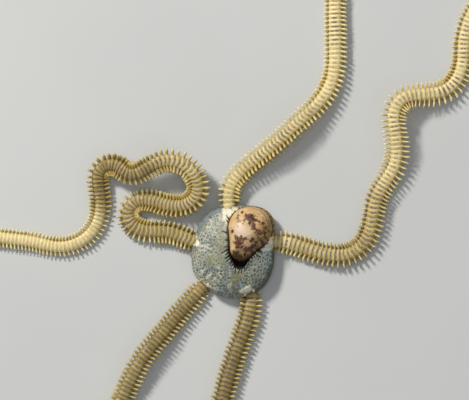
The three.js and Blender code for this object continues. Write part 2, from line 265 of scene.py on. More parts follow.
def egg(x, y, big, small):
    dx, dy = small[0] - big[0], small[1] - big[1]
    h = math.hypot(dx, dy)
    qx, qy = x - big[0], y - big[1]
    v, u = (qx * dx + qy * dy) / h, np.abs((qx * dy - qy * dx) / h)
    b = (big[2] - small[2]) / h
    a = math.sqrt(1 - b * b)
    k = -b * u + a * v
    return np.where(k < 0, np.hypot(u, v) - big[2], np.where(k > a * h, np.hypot(u, v - h) - small[2], u * a + v * b - big[2]))


@functools.lru_cache(maxsize=None)
def bulge_outline():
    deg = np.linspace(-180, 180, 721)
    return deg, radius_where(lambda a, b: egg(a, b, BULGE_BIG, BULGE_SMALL), BULGE_CENTRE, deg)


def back_at(x, y):
    """Height of the back, the bulge's included."""
    deg = np.degrees(np.arctan2(y - BULGE_CENTRE[1], x - BULGE_CENTRE[0]))
    part = np.hypot(x - BULGE_CENTRE[0], y - BULGE_CENTRE[1]) / np.interp(deg, *bulge_outline())
    dome = BULGE_BELT + (BULGE_TOP - BULGE_BELT) * np.sqrt(np.clip(1 - part**2, 0, 1))
    return np.where(part < 1, dome, back_height(np.minimum(reach(x, y), 1)))


def slit(x, y):
    return np.minimum(egg(x, y, BULGE_BIG, BULGE_SMALL), egg(x, y, BULGE_SMALL, SLIT_TAIL)) - SLIT_GAP


def radius_where(test, centre, deg):
    lo, hi = np.zeros_like(deg), np.full_like(deg, 12.0)
    c, s = np.cos(np.radians(deg)), np.sin(np.radians(deg))
    for _ in range(40):
        m = (lo + hi) / 2
        inside = test(centre[0] + m * c, centre[1] + m * s) < 0
        lo, hi = np.where(inside, m, lo), np.where(inside, hi, m)
    return lo


# ------------------------------------------------------------------ mesh building
class Parts:
    """Gathers points, faces, corner places on the bake map and point values of many small shapes."""

    def __init__(self):
        self.v, self.f4, self.f3, self.m4, self.m3, self.u4, self.u3 = [], [], [], [], [], [], []
        self.attr = {}
        self.n = 0

    def add(self, v, quads=None, tris=None, slot=0, uv4=None, uv3=None, **attrs):
        v = np.asarray(v, float).reshape(-1, 3)
        for f, uv, store, marks, uvs, k in ((quads, uv4, self.f4, self.m4, self.u4, 4), (tris, uv3, self.f3, self.m3, self.u3, 3)):
            if f is None or not len(f):
                continue
            f = np.asarray(f, np.int64)
            store.append(f + self.n)
            marks.append(np.full(len(f), slot, np.int32))
            uvs.append(np.asarray(uv, float).reshape(-1, k, 2) if uv is not None else np.full((len(f), k, 2), 0.5))
        self.v.append(v)
        for key, val in attrs.items():
            val = np.asarray(val, float)
            if val.ndim == 1:
                val = np.broadcast_to(val, (len(v), 4))
            self.attr.setdefault(key, []).append((self.n, val))
        self.n += len(v)

    def mesh(self, name, materials):
        v = np.concatenate(self.v)
        f4 = np.concatenate(self.f4) if self.f4 else np.zeros((0, 4), np.int64)
        f3 = np.concatenate(self.f3) if self.f3 else np.zeros((0, 3), np.int64)
        me = bpy.data.meshes.new(name)
        me.vertices.add(len(v))
        me.vertices.foreach_set("co", (v * 0.001).astype(np.float32).ravel())
        loops = np.concatenate([f4.ravel(), f3.ravel()]).astype(np.int32)
        me.loops.add(len(loops))
        me.loops.foreach_set("vertex_index", loops)
        me.polygons.add(len(f4) + len(f3))
        starts = np.concatenate([np.arange(len(f4)) * 4, len(f4) * 4 + np.arange(len(f3)) * 3]).astype(np.int32)
        me.polygons.foreach_set("loop_start", starts)
        marks = np.concatenate([*self.m4, *self.m3]) if self.m4 or self.m3 else np.zeros(0, np.int32)
        for m in materials:
            me.materials.append(m)
        me.polygons.foreach_set("material_index", marks)
        me.polygons.foreach_set("use_smooth", np.ones(len(f4) + len(f3), bool))
        for key, runs in self.attr.items():
            full = np.zeros((len(v), 4), np.float32)
            for at, val in runs:
                full[at : at + len(val)] = val
            me.attributes.new(key, "FLOAT_COLOR", "POINT").data.foreach_set("color", full.ravel())
        uv = np.concatenate([np.concatenate([a.reshape(-1, 2) for a in group]) for group in (self.u4, self.u3) if group])
        layer = me.uv_layers.new(name="OFBake")
        layer.data.foreach_set("uv", uv.astype(np.float32).ravel())
        me.update(calc_edges=True)
        me.validate()
        return me

    def piece(self, name, materials, replaces=()):
        ob = bpy.data.objects.new(name, self.mesh(name, materials))
        SCN.collection.objects.link(ob)
        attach(ob, "root")
        if replaces:
            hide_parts(*replaces)
        return ob


def outward(v, quads, tris):
    """Turns the faces of one closed shape so that they look outwards."""
    vol = 0.0
    c = v.mean(0)
    for f in (quads, tris):
        if f is None or not len(f):
            continue
        p = v[f] - c
        vol += np.einsum("ij,ij->i", p[:, 0], np.cross(p[:, 1], p[:, 2])).sum()
        if f.shape[1] == 4:
            vol += np.einsum("ij,ij->i", p[:, 0], np.cross(p[:, 2], p[:, 3])).sum()
    if vol < 0:
        quads = None if quads is None else quads[:, ::-1]
        tris = None if tris is None else tris[:, ::-1]
    return quads, tris, vol < 0


def strip_faces(rows, cols, wrap):
    """Quads of a grid of points, rows x cols, and the (row, column) of each corner."""
    r, c = np.meshgrid(np.arange(rows - 1), np.arange(cols if wrap else cols - 1), indexing="ij")
    r, c = r.ravel(), c.ravel()
    rc = np.stack([np.stack([r, c], 1), np.stack([r, c + 1], 1), np.stack([r + 1, c + 1], 1), np.stack([r + 1, c], 1)], 1)
    faces = rc[..., 0] * cols + rc[..., 1] % cols
    return faces, rc


# ------------------------------------------------------------------ arms
class Arm:
    def __init__(self, name, spec, index):
        self.name, self.index = name, index
        self.total = sum(b[0] for b in spec["bends"])
        n = int(round(self.total / WALK))
        s = (np.arange(n) + 0.5) * WALK
        curve = np.zeros(n)
        at = 0.0
        for length, turn in spec["bends"]:
            curve[(s >= at) & (s < at + length)] = math.radians(turn) / length
            at += length
        w = int(round(BEND_BLEND / WALK))
        near = np.clip(np.arange(n)[:, None] + np.arange(w)[None] - w // 2, 0, n - 1)
        k = curve[near].mean(1)
        h = math.radians(spec["heading"]) + np.r_[0, np.cumsum(k * WALK)]
        m = (h[1:] + h[:-1]) / 2
        x = spec["start"][0] + np.r_[0, np.cumsum(np.cos(m) * WALK)]
        y = spec["start"][1] + np.r_[0, np.cumsum(np.sin(m) * WALK)]
        # the hidden stretch under the disc, from the mouth to the margin
        az = math.radians(AZIMUTH[name])
        p0 = np.array([1.3 * math.cos(az), DISC_Y + 1.3 * math.sin(az)])
        p1 = np.array([x[0], y[0]])
        reach_in = np.linalg.norm(p1 - p0)
        t0, t1 = reach_in * np.array([math.cos(az), math.sin(az)]), reach_in * np.array([math.cos(h[0]), math.sin(h[0])])
        t = np.linspace(0, 1, 400)[:, None]
        c = (2 * t**3 - 3 * t**2 + 1) * p0 + (t**3 - 2 * t**2 + t) * t0 + (-2 * t**3 + 3 * t**2) * p1 + (t**3 - t**2) * t1
        d = np.r_[0, np.cumsum(np.hypot(*np.diff(c, axis=0).T))]
        self.inner = d[-1]
        si = np.arange(0, self.inner - 0.02, WALK)
        xi, yi = np.interp(si, d, c[:, 0]), np.interp(si, d, c[:, 1])
        hi = np.unwrap(np.arctan2(np.gradient(yi), np.gradient(xi)))
        hi += 2 * np.pi * round((h[0] - hi[-1]) / (2 * np.pi))
        self.S = np.r_[si - self.inner, np.arange(n + 1) * WALK]
        self.X, self.Y, self.H = np.r_[xi, x], np.r_[yi, y], np.r_[hi, h]
        self.K = np.r_[np.gradient(hi, WALK), k, k[-1]]
        z = np.zeros_like(self.S)
        for a, b, high in spec["lifts"]:
            inside = (self.S > a) & (self.S < b)
            z[inside] += high * 0.5 * (1 - np.cos(2 * np.pi * (self.S[inside] - a) / (b - a)))
        self.Z = z
        self.slope = np.gradient(z, self.S)
        roll = 4.0 * noise(np.stack([self.S, np.full_like(self.S, 31.7 * index)], 1), 9.0, 5 + index)
        for a, b, deg in ROLLS.get(name, ()):
            roll += deg * smooth(self.S, a - 2.5, a + 2.5) * (1 - smooth(self.S, b - 2.5, b + 2.5))
        self.R = np.radians(roll * smooth(self.S, -2, 3))
        self.joints()

    def joints(self):
        """Places of the joints: s of each joint's middle and its length."""
        s, out = -self.inner + 0.3, []
        while True:
            p = float(np.interp(s, *zip(*PITCHES[self.name]))) * (1 - PITCH_LOSS * max(s / self.total, 0) ** 2.5)
            p *= 1 + 0.04 * float(noise(np.array([[s, 3.3 * self.index]]), 1.3, 61)[0])
            if s + p > self.total - 0.12:
                break
            out.append((s + p / 2, p))
            s += p
        self.s, self.p = np.array(out).T

    def fall(self, s):
        return 1 - TAPER_LOSS * np.clip(s / self.total, 0, 1) ** TAPER_POWER

    def shade_gold(self, s, side):
        """Painted shade: how golden the sides and spines are, more on the side turned from the light and on the inside
        of a bend.
        """
        inside = smooth(side * np.interp(s, self.S, self.K), 0.03, 0.15)
        at, right, left = zip(*SHADE_GOLD[self.name])
        shade = np.interp(s, at, right if side < 0 else left)
        return np.clip(np.maximum(0.95 * inside, shade), 0, 1)

    def girth(self, s):
        f = self.fall(s)
        near = 0.9 + 0.1 * smooth(s, -0.5, 3.0)
        return CORE_HALF * f * near, CORE_HIGH * f * (0.9 + 0.1 * smooth(s, -3, 2)) / 2

    def frame(self, s):
        x, y, z, h = (np.interp(s, self.S, a) for a in (self.X, self.Y, self.Z, self.H))
        g, roll = np.interp(s, self.S, self.slope), np.interp(s, self.S, self.R)
        wide, half = self.girth(s)
        t = np.stack([np.cos(h), np.sin(h), g], -1)
        t /= np.linalg.norm(t, axis=-1, keepdims=True)
        left = np.stack([-np.sin(h), np.cos(h), np.zeros_like(h)], -1)
        up = np.cross(t, left)
        # where it is rolled it stands a little higher, so that its lower corner clears the floor
        m = CORE_FLAT / (CORE_FLAT - 1)
        deep = ((wide * np.abs(np.sin(roll))) ** m + (half * np.cos(roll)) ** m) ** (1 / m) + 0.09 * np.clip(np.abs(np.sin(roll)) / 0.2, 0, 1) * half / (CORE_HIGH / 2)
        c = np.stack([x, y, z], -1) + up * (deep + CORE_CLEAR)[..., None]
        cr, sr = np.cos(roll)[..., None], np.sin(roll)[..., None]
        return c, cr * left + sr * up, cr * up - sr * left, t, wide, half

    def surface(self, s, phi, out):
        """Points of the arm's outline at s, at the angle phi (0 left, 90 up), raised by out."""
        c, left, up, t, wide, half = self.frame(s)
        a = np.radians(phi)
        ca, sa = np.cos(a), np.sin(a)
        n = np.where(sa >= 0, CORE_ROUND, CORE_FLAT)
        r = ((np.abs(ca) / wide) ** n + (np.abs(sa) / half) ** n) ** (-1 / n)
        yy, zz = r * ca, r * sa
        ny = np.sign(yy) * np.abs(yy) ** (n - 1) / wide**n
        nz = np.sign(zz) * np.abs(zz) ** (n - 1) / half**n
        ln = np.sqrt(ny**2 + nz**2) + 1e-12
        yy, zz = yy + out * ny / ln, zz + out * nz / ln
        return c + yy[..., None] * left + zz[..., None] * up


# stretches where an arm is turned a little about its own length: from, to, degrees (its left side up)
ROLLS = {"left": [(19, 34, -9), (34, 60, -14), (62, 80, -8)], "up": [(1, 17, -15), (17, 40, -6)], "right": [(4, 24, -7), (26, 48, -4)]}

arms = [Arm(name, spec, i) for i, (name, spec) in enumerate(ARMS.items())]

# ------------------------------------------------------------------ node helpers
class Nodes:
    def __init__(self, name):
        self.mat = bpy.data.materials.new(name)
        self.mat.use_nodes = True
        self.nt = self.mat.node_tree
        self.bsdf = self.nt.nodes["Principled BSDF"]
        self.seen = {}

    def node(self, kind, **props):
        n = self.nt.nodes.new(kind)
        for k, v in props.items():
            setattr(n, k, v)
        return n

    def put(self, socket, value):
        if isinstance(value, bpy.types.NodeSocket):
            self.nt.links.new(value, socket)
        elif value is not None:
            if hasattr(socket.default_value, "__len__") and not hasattr(value, "__len__"):
                value = [value] * len(socket.default_value)
            if hasattr(value, "__len__") and len(value) == 3 and len(socket.default_value) == 4:
                value = (*value, 1.0)
            socket.default_value = value
        return socket

    def math(self, op, a, b=None, c=None, clamp=False):
        n = self.node("ShaderNodeMath", operation=op, use_clamp=clamp)
        for i, v in enumerate((a, b, c)):
            if v is not None:
                self.put(n.inputs[i], v)
        return n.outputs[0]

    def add(self, a, b): return self.math("ADD", a, b)
    def sub(self, a, b): return self.math("SUBTRACT", a, b)
    def mul(self, a, b): return self.math("MULTIPLY", a, b)

    def step(self, v, lo, hi, to=(0.0, 1.0)):
        n = self.node("ShaderNodeMapRange", interpolation_type="SMOOTHSTEP", clamp=True)
        for i, val in enumerate((v, lo, hi, to[0], to[1])):
            self.put(n.inputs[i], val)
        return n.outputs[0]

    def mix(self, fac, a, b, mode="MIX"):
        n = self.node("ShaderNodeMix", data_type="RGBA", blend_type=mode)
        n.clamp_factor = True
        self.put(n.inputs[0], fac)
        self.put(n.inputs[6], a)
        self.put(n.inputs[7], b)
        return n.outputs[2]

    def place(self, scale=1000.0, stretch=None):
        """The piece's own coordinates in mm."""
        key = ("place", scale, stretch)
        if key not in self.seen:
            tc = self.node("ShaderNodeTexCoord")
            m = self.node("ShaderNodeMapping")
            self.nt.links.new(tc.outputs["Object"], m.inputs["Vector"])
            m.inputs["Scale"].default_value = stretch or (scale, scale, scale)
            self.seen[key] = m.outputs[0]
        return self.seen[key]

    def noise(self, size, detail=2.0, rough=0.5, warp=0.0, vec=None):
        n = self.node("ShaderNodeTexNoise")
        self.put(n.inputs["Vector"], vec or self.place())
        n.inputs["Scale"].default_value = 1.0 / size
        n.inputs["Detail"].default_value = detail
        n.inputs["Roughness"].default_value = rough
        n.inputs["Distortion"].default_value = warp
        return n.outputs[0]

    def cells(self, size, feature="F1", out="Distance", vec=None, random=1.0):
        n = self.node("ShaderNodeTexVoronoi", feature=feature)
        self.put(n.inputs["Vector"], vec or self.place())
        n.inputs["Scale"].default_value = 1.0 / size
        n.inputs["Randomness"].default_value = random
        return n.outputs[out]

    def warped(self, size, amount):
        """Coordinates in mm, pushed about by noise."""
        n = self.node("ShaderNodeTexNoise")
        self.put(n.inputs["Vector"], self.place())
        n.inputs["Scale"].default_value = 1.0 / size
        n.inputs["Detail"].default_value = 2.0
        v = self.node("ShaderNodeVectorMath", operation="SUBTRACT")
        self.nt.links.new(n.outputs["Color"], v.inputs[0])
        v.inputs[1].default_value = (0.5, 0.5, 0.5)
        w = self.node("ShaderNodeVectorMath", operation="MULTIPLY_ADD")
        self.nt.links.new(v.outputs[0], w.inputs[0])
        w.inputs[1].default_value = (amount, amount, amount)
        self.nt.links.new(self.place(), w.inputs[2])
        return w.outputs[0]

    def attr(self, name):
        """(red, green, blue, alpha) of a point value."""
        if name not in self.seen:
            a = self.node("ShaderNodeAttribute", attribute_name=name)
            s = self.node("ShaderNodeSeparateColor")
            self.nt.links.new(a.outputs["Color"], s.inputs[0])
            self.seen[name] = (*s.outputs[:3], a.outputs["Alpha"])
        return self.seen[name]

    def bump(self, height, distance, strength=1.0, normal=None):
        n = self.node("ShaderNodeBump")
        n.inputs["Strength"].default_value = strength
        n.inputs["Distance"].default_value = distance * 0.001
        self.put(n.inputs["Height"], height)
        if normal is not None:
            self.put(n.inputs["Normal"], normal)
        return n.outputs[0]

    def finish(self, colour, rough=0.5, normal=None, **direct):
        self.put(self.bsdf.inputs["Base Color"], colour)
        self.put(self.bsdf.inputs["Roughness"], rough)
        if normal is not None:
            self.put(self.bsdf.inputs["Normal"], normal)
        for k, v in direct.items():
            self.put(self.bsdf.inputs[k.replace("_", " ")], v)
        return self.mat


def rgb(r, g, b):
    """Linear colour from the usual 0 to 255 screen values."""
    return tuple(((c / 255) / 12.92 if c / 255 <= 0.04045 else ((c / 255 + 0.055) / 1.055) ** 2.4) for c in (r, g, b))

# ------------------------------------------------------------------ materials
def plate_speckle(g, colour, amount=0.16):
    """Fine mottling of a chalky plate."""
    a = g.step(g.noise(0.055, 3.0, 0.6), 0.34, 0.68, (1.0 - amount, 1.0 + amount * 0.55))
    b = g.step(g.noise(0.5, 2.0, 0.5), 0.3, 0.7, (0.93, 1.05))
    return g.mix(1.0, colour, g.mix(1.0, (1, 1, 1), g.mul(a, b), "MULTIPLY"), "MULTIPLY")


def back_plate_material():
    g = Nodes("back_plates")
    u01, v, rnd, strength = g.attr("pa")
    tone, wide, split, lee_shade = g.attr("pb")
    u = g.math("ABSOLUTE", g.sub(g.mul(u01, 2.0), 1.0))
    jag = g.mul(g.sub(g.noise(0.15, 3.0, 0.62), 0.5), 0.9)
    blotch = g.step(g.noise(0.75, 3.0, 0.6), 0.38, 0.66, (-0.20, 0.22))
    crest = g.mix(tone, rgb(187, 167, 103), rgb(255, 238, 179))
    near = g.mix(tone, rgb(150, 129, 76), rgb(243, 220, 161))
    lift = g.add(g.add(g.mul(jag, 0.3), blotch), g.mul(tone, 0.08))
    base = g.mix(g.step(g.add(v, lift), 0.34, 0.66), near, crest)
    # the sunken lens, grey mauve to purple brown
    e = g.add(g.math("POWER", g.mul(g.math("ABSOLUTE", g.sub(v, 0.25)), 4.3), 2.0), g.math("POWER", g.math("DIVIDE", u, wide), 2.0))
    lens = g.mul(g.step(g.add(g.add(e, jag), g.mul(blotch, 1.2)), 0.55, 1.25, (1.0, 0.0)), strength)
    mid = g.step(g.add(u, g.mul(jag, 0.1)), 0.02, 0.16, (1.0, 0.0))
    lens = g.mul(lens, g.sub(1.0, g.mul(mid, split)))
    dark = g.mix(g.step(g.noise(0.9, 2.0), 0.38, 0.62), rgb(138, 122, 106), rgb(111, 90, 77))
    dark = g.mix(g.mul(tone, 0.32), dark, rgb(174, 146, 121))
    base = g.mix(lens, base, dark)
    # golden ends and a stained front edge
    base = g.mix(g.mul(g.step(u, 0.78, 1.0), 0.3), base, g.mix(tone, rgb(180, 158, 92), rgb(230, 208, 142)))
    base = g.mix(g.mul(g.step(v, 0.90, 1.0), g.sub(0.5, g.mul(tone, 0.25))), base, rgb(150, 126, 76))
    base = g.mix(g.mul(g.step(v, 0.0, 0.10, (1.0, 0.0)), g.sub(0.5, g.mul(tone, 0.32))), base, rgb(96, 78, 44))
    # painted shade: duller where the arm is darkened as if in shadow
    base = g.mix(g.mul(lee_shade, 0.95), base, g.mix(1.0, base, rgb(206, 202, 192), "MULTIPLY"))
    base = plate_speckle(g, base, 0.18)
    nrm = g.bump(g.noise(0.07, 3.0, 0.6), 0.012, 0.8)
    return g.finish(base, g.step(g.noise(0.4, 2.0), 0.3, 0.7, (0.42, 0.58)), nrm, Specular_IOR_Level=0.45)


def side_plate_material():
    g = Nodes("side_plates")
    q, v, rnd, side = g.attr("pa")
    tone, _, shade_gold, lee_shade = g.attr("pb")
    high = g.step(g.add(q, g.mul(g.sub(g.noise(0.2, 2.0), 0.5), 0.2)), 0.20, 0.50, (1.0, 0.0))
    gold = g.mix(tone, g.mix(rnd, rgb(148, 120, 52), rgb(166, 136, 64)), g.mix(rnd, rgb(220, 186, 104), rgb(232, 202, 124)))
    gold = g.mix(high, gold, g.mix(tone, rgb(154, 132, 74), rgb(248, 228, 164)))
    pale = g.mix(tone, g.mix(rnd, rgb(184, 160, 92), rgb(198, 176, 108)), g.mix(rnd, rgb(240, 216, 140), rgb(250, 232, 166)))
    base = g.mix(g.step(g.add(v, g.mul(g.sub(g.noise(0.16, 2.0), 0.5), 0.35)), 0.38, 0.64), gold, pale)
    # painted shade: the side plates turn golden on the side turned from the light and inside bends
    base = g.mix(g.mul(shade_gold, g.step(q, 0.12, 0.30, (0.25, 0.85))), base, g.mix(g.step(v, 0.35, 0.65), rgb(150, 118, 42), rgb(208, 174, 82)))
    flat = g.mul(g.sub(1.0, g.mul(high, 0.6)), g.sub(1.0, g.mul(tone, 0.6)))
    base = g.mix(g.mul(flat, g.step(v, 0.82, 1.02, (0.0, 0.75))), base, rgb(134, 106, 48))
    base = g.mix(g.mul(flat, g.step(v, 0.02, 0.30, (0.9, 0.0))), base, rgb(100, 78, 32))
    base = g.mix(g.step(q, 0.62, 0.95, (0.0, 0.5)), base, rgb(206, 184, 136))
    # painted shade: duller where the arm is darkened as if in shadow
    base = g.mix(g.mul(lee_shade, 0.95), base, g.mix(1.0, base, rgb(206, 202, 192), "MULTIPLY"))
    base = plate_speckle(g, base, 0.16)
    nrm = g.bump(g.noise(0.07, 3.0, 0.6), 0.012, 0.8)
    return g.finish(base, 0.5, nrm, Specular_IOR_Level=0.45)


def under_plate_material():
    g = Nodes("under_plates")
    u01, v, rnd, _ = g.attr("pa")
    u = g.math("ABSOLUTE", g.sub(g.mul(u01, 2.0), 1.0))
    base = g.mix(rnd, rgb(214, 196, 152), rgb(230, 214, 176))
    base = g.mix(g.step(u, 0.0, 0.35, (0.25, 0.0)), base, rgb(186, 152, 104))
    base = g.mix(g.step(v, 0.0, 0.18, (0.7, 0.0)), base, rgb(140, 106, 58))
    base = g.mix(g.step(u, 0.75, 1.0, (0.0, 0.5)), base, rgb(170, 132, 76))
    base = plate_speckle(g, base, 0.12)
    return g.finish(base, 0.52, g.bump(g.noise(0.08, 3.0, 0.6), 0.01, 0.7), Specular_IOR_Level=0.45)


def spine_material():
    g = Nodes("spines")
    # the third value is the spine's tone; tone and gold carry painted shade, darker and more golden on the side turned
    # from the light, inside bends and on dulled arms
    along, around, rnd, gold = g.attr("sa")
    root = g.mix(rnd, rgb(150, 126, 60), rgb(240, 220, 154))
    mid = g.mix(rnd, rgb(172, 148, 74), rgb(238, 218, 146))
    tip = g.mix(rnd, rgb(206, 188, 118), rgb(252, 242, 196))
    a = g.add(along, g.mul(g.sub(g.noise(0.12, 2.0), 0.5), 0.22))
    base = g.mix(g.step(a, 0.02, 0.34), root, mid)
    base = g.mix(g.step(a, g.add(0.22, g.mul(gold, 0.32)), g.add(0.72, g.mul(gold, 0.24))), base, tip)
    base = g.mix(g.mul(gold, g.step(a, 0.2, 0.9, (0.75, 0.25))), base, g.mix(rnd, rgb(156, 126, 48), rgb(208, 178, 86)))
    base = plate_speckle(g, base, 0.12)
    nrm = g.bump(g.noise(0.05, 2.0, 0.6), 0.008, 0.7)
    return g.finish(base, 0.42, nrm, Specular_IOR_Level=0.5)


def arm_skin_material():
    g = Nodes("arm_skin")
    a = g.noise(0.25, 3.0, 0.6)
    base = g.mix(g.step(a, 0.35, 0.65), rgb(100, 76, 34), rgb(150, 120, 60))
    return g.finish(base, 0.5, g.bump(g.noise(0.1, 3.0), 0.02, 0.8), Specular_IOR_Level=0.4)


def disc_skin_material():
    g = Nodes("disc_skin")
    net_on, tan, pit_shade, cream = g.attr("da")
    olive, white, rim, under = g.attr("db")
    pleat_shade, teal, warm, hush = g.attr("dc")
    w1 = g.warped(0.8, 0.30)
    # ground: blue grey, drifting to grey green and pale grey
    big = g.noise(2.8, 3.0, 0.55)
    base = g.mix(g.step(big, 0.38, 0.62), rgb(80, 93, 94), rgb(103, 108, 90))
    base = g.mix(g.step(g.noise(1.3, 3.0, 0.55), 0.52, 0.70, (0.0, 0.40)), base, rgb(152, 154, 124))
    base = g.mix(g.step(g.noise(0.45, 3.0, 0.6), 0.50, 0.72, (0.0, 0.55)), base, rgb(88, 110, 124))
    # pale network: the walls between cells, uneven and soft, with blots where they meet
    edge = g.cells(0.43, "DISTANCE_TO_EDGE", "Distance", vec=w1)
    vein = g.math("ABSOLUTE", g.sub(g.noise(0.62, 2.0, 0.55, vec=w1), 0.5))
    vein = g.step(vein, 0.012, 0.045, (1.0, 0.0))
    lines = g.step(g.add(edge, g.mul(g.sub(g.noise(0.2, 3.0, 0.6), 0.5), 0.18)), 0.03, 0.14, (1.0, 0.0))
    patch = g.step(g.noise(1.2, 3.0, 0.6), 0.36, 0.56, (0.45, 1.0))
    blots = g.step(g.noise(0.27, 3.0, 0.62), 0.53, 0.66)
    web = g.math("MAXIMUM", g.mul(lines, 0.9), g.mul(g.math("MAXIMUM", vein, blots), 0.42))
    web = g.mul(g.mul(web, patch), net_on)
    base = g.mix(g.mul(web, 0.95), base, g.mix(g.step(g.noise(0.9, 2.0), 0.4, 0.6), rgb(205, 207, 192), rgb(209, 205, 178)))
    # small dark teal dots, most of them in the middle of a cell
    d1 = g.step(g.cells(0.43, "F1", "Distance", vec=w1), 0.11, 0.21, (1.0, 0.0))
    d1 = g.mul(d1, g.step(g.noise(0.8, 2.0, 0.5), 0.38, 0.52, (0.1, 1.0)))
    d2 = g.step(g.cells(0.29, "F1", "Distance", vec=g.warped(0.25, 0.08)), 0.11, 0.23, (1.0, 0.0))
    d2 = g.mul(d2, g.step(g.noise(0.6, 2.0, 0.5), 0.50, 0.60))
    base = g.mix(g.mul(g.mul(d2, net_on), 0.75), base, rgb(42, 56, 62))
    base = g.mix(g.mul(g.mul(d1, net_on), 0.95), base, rgb(20, 28, 32))
    # regions
    base = g.mix(g.mul(rim, 0.8), base, g.mix(g.step(g.noise(0.5, 2.0), 0.4, 0.6), rgb(112, 128, 134), rgb(140, 150, 148)))
    # a darker olive band on the right rim: partly its own colour, partly painted shade on the side turned from the
    # light
    base = g.mix(g.mul(teal, 0.8), base, rgb(82, 88, 60))
    base = g.mix(g.mul(warm, 0.5), base, rgb(178, 172, 136))
    ol = g.mix(g.step(g.noise(0.35, 3.0, 0.6), 0.42, 0.62), rgb(128, 128, 84), rgb(156, 152, 104))
    base = g.mix(g.mul(olive, 0.68), base, ol)
    tn = g.mix(g.step(g.noise(0.32, 3.0, 0.6), 0.4, 0.62), rgb(108, 84, 46), rgb(172, 142, 90))
    base = g.mix(tan, base, tn)
    base = g.mix(g.mul(white, 0.85), base, rgb(232, 232, 220))
    cr = g.mix(g.step(g.noise(0.3, 3.0, 0.6), 0.4, 0.66), rgb(236, 226, 188), rgb(255, 253, 240))
    base = g.mix(cream, base, cr)
    base = g.mix(g.mul(g.mul(d1, cream), 0.5), base, rgb(84, 76, 54))
    base = g.mix(g.mul(g.attr("dd")[1], 0.8), base, g.mix(1.0, base, (0.82, 0.99, 1.20), "MULTIPLY"))
    base = g.mix(g.mul(under, 0.75), base, g.mix(g.step(g.noise(0.5, 2.0), 0.4, 0.6), rgb(196, 190, 168), rgb(176, 172, 150)))
    # painted shade: the lower right of the disc and its bottom darkened, less on the cream shield ends
    base = g.mix(g.mul(g.attr("dd")[0], g.sub(0.62, g.mul(cream, 0.5))), base, g.mix(1.0, base, rgb(168, 172, 168), "MULTIPLY"))
    # painted shade in the creases of the pleats
    base = g.mix(g.mul(pleat_shade, 0.92), base, rgb(32, 28, 24))
    # painted shade: near black down in the slit and along its lip, and dark in the slits of the underside
    base = g.mix(pit_shade, base, g.mix(g.step(g.noise(0.2, 2.0), 0.4, 0.6), rgb(14, 10, 8), rgb(34, 25, 18)))
    # small scales and grains under the skin
    rough = g.math("MAXIMUM", g.step(g.noise(0.35, 2.0), 0.3, 0.7, (0.38, 0.54)), g.mul(g.math("MAXIMUM", pit_shade, pleat_shade), 0.95))
    h = g.math("MULTIPLY_ADD", g.cells(0.2, "SMOOTH_F1", "Distance", vec=w1), -0.5, g.mul(g.noise(0.12, 3.0, 0.6), 0.5))
    h = g.add(h, g.mul(web, 0.35))
    nrm = g.bump(g.mul(h, g.sub(1.0, g.mul(hush, 0.8))), 0.05, 0.75)
    return g.finish(base, rough, nrm, Specular_IOR_Level=0.5, Coat_Weight=0.12, Coat_Roughness=0.3)


def bulge_material():
    g = Nodes("bulge_skin")
    star, spot, dot, flank = g.attr("ba")
    fold_shade, black, pale, low = g.attr("bb")
    base = g.mix(g.step(g.noise(1.1, 3.0, 0.55), 0.38, 0.64), rgb(218, 180, 126), rgb(230, 199, 148))
    # painted highlight: a soft pinkish white patch on the dome, with fewer specks under it
    base = g.mix(g.mul(pale, 0.8), base, rgb(234, 210, 194))
    base = g.mix(g.step(g.noise(0.28, 3.0, 0.6), 0.50, 0.72, (0.0, 0.35)), base, rgb(196, 146, 104))
    # browner and darker towards the lower right, the side turned from the light: partly mottling of its own, partly
    # painted shade
    base = g.mix(g.mul(flank, 0.9), base, g.mix(g.step(g.noise(0.45, 3.0, 0.65), 0.40, 0.62), rgb(122, 84, 30), rgb(188, 148, 76)))
    base = g.mix(g.mul(spot, 0.9), base, rgb(214, 172, 122))
    sc = g.mix(g.step(g.noise(0.3, 3.0, 0.6), 0.4, 0.64), rgb(54, 14, 18), rgb(94, 36, 30))
    speck = g.mul(g.step(g.noise(0.2, 3.0, 0.65), 0.44, 0.68, (0.0, 0.34)), g.sub(1.0, g.mul(pale, 0.8)))
    base = g.mix(speck, base, rgb(140, 98, 66))
    base = g.mix(g.mul(star, 0.95), base, sc)
    # painted shade in the creases and radial grooves of the far flank, over brown mottling
    base = g.mix(g.mul(fold_shade, 0.85), base, g.mix(g.step(g.noise(0.3, 2.0), 0.4, 0.6), rgb(98, 62, 18), rgb(142, 96, 36)))
    base = g.mix(g.mul(black, 0.96), base, rgb(30, 20, 18))
    base = g.mix(g.mul(dot, 0.95), base, rgb(50, 32, 22))
    # painted shade: dark brown at the foot of the bulge where the slit is open, and on its lower end
    base = g.mix(g.mul(low, 0.85), base, g.mix(g.step(g.noise(0.35, 3.0, 0.6), 0.42, 0.62), rgb(60, 40, 24), rgb(126, 88, 40)))
    nrm = g.bump(g.add(g.noise(0.22, 3.0, 0.55), g.mul(star, -0.12)), 0.03, 0.6)
    return g.finish(base, g.step(g.noise(0.5, 2.0), 0.3, 0.7, (0.4, 0.52)), nrm, Specular_IOR_Level=0.45, Coat_Weight=0.22, Coat_Roughness=0.42)


def shield_material():
    g = Nodes("shields")
    base = g.mix(g.step(g.noise(0.22, 3.0, 0.6), 0.38, 0.64), rgb(226, 212, 168), rgb(250, 245, 222))
    base = plate_speckle(g, base, 0.1)
    return g.finish(base, 0.4, g.bump(g.noise(0.09, 3.0, 0.6), 0.015, 0.8), Specular_IOR_Level=0.5)


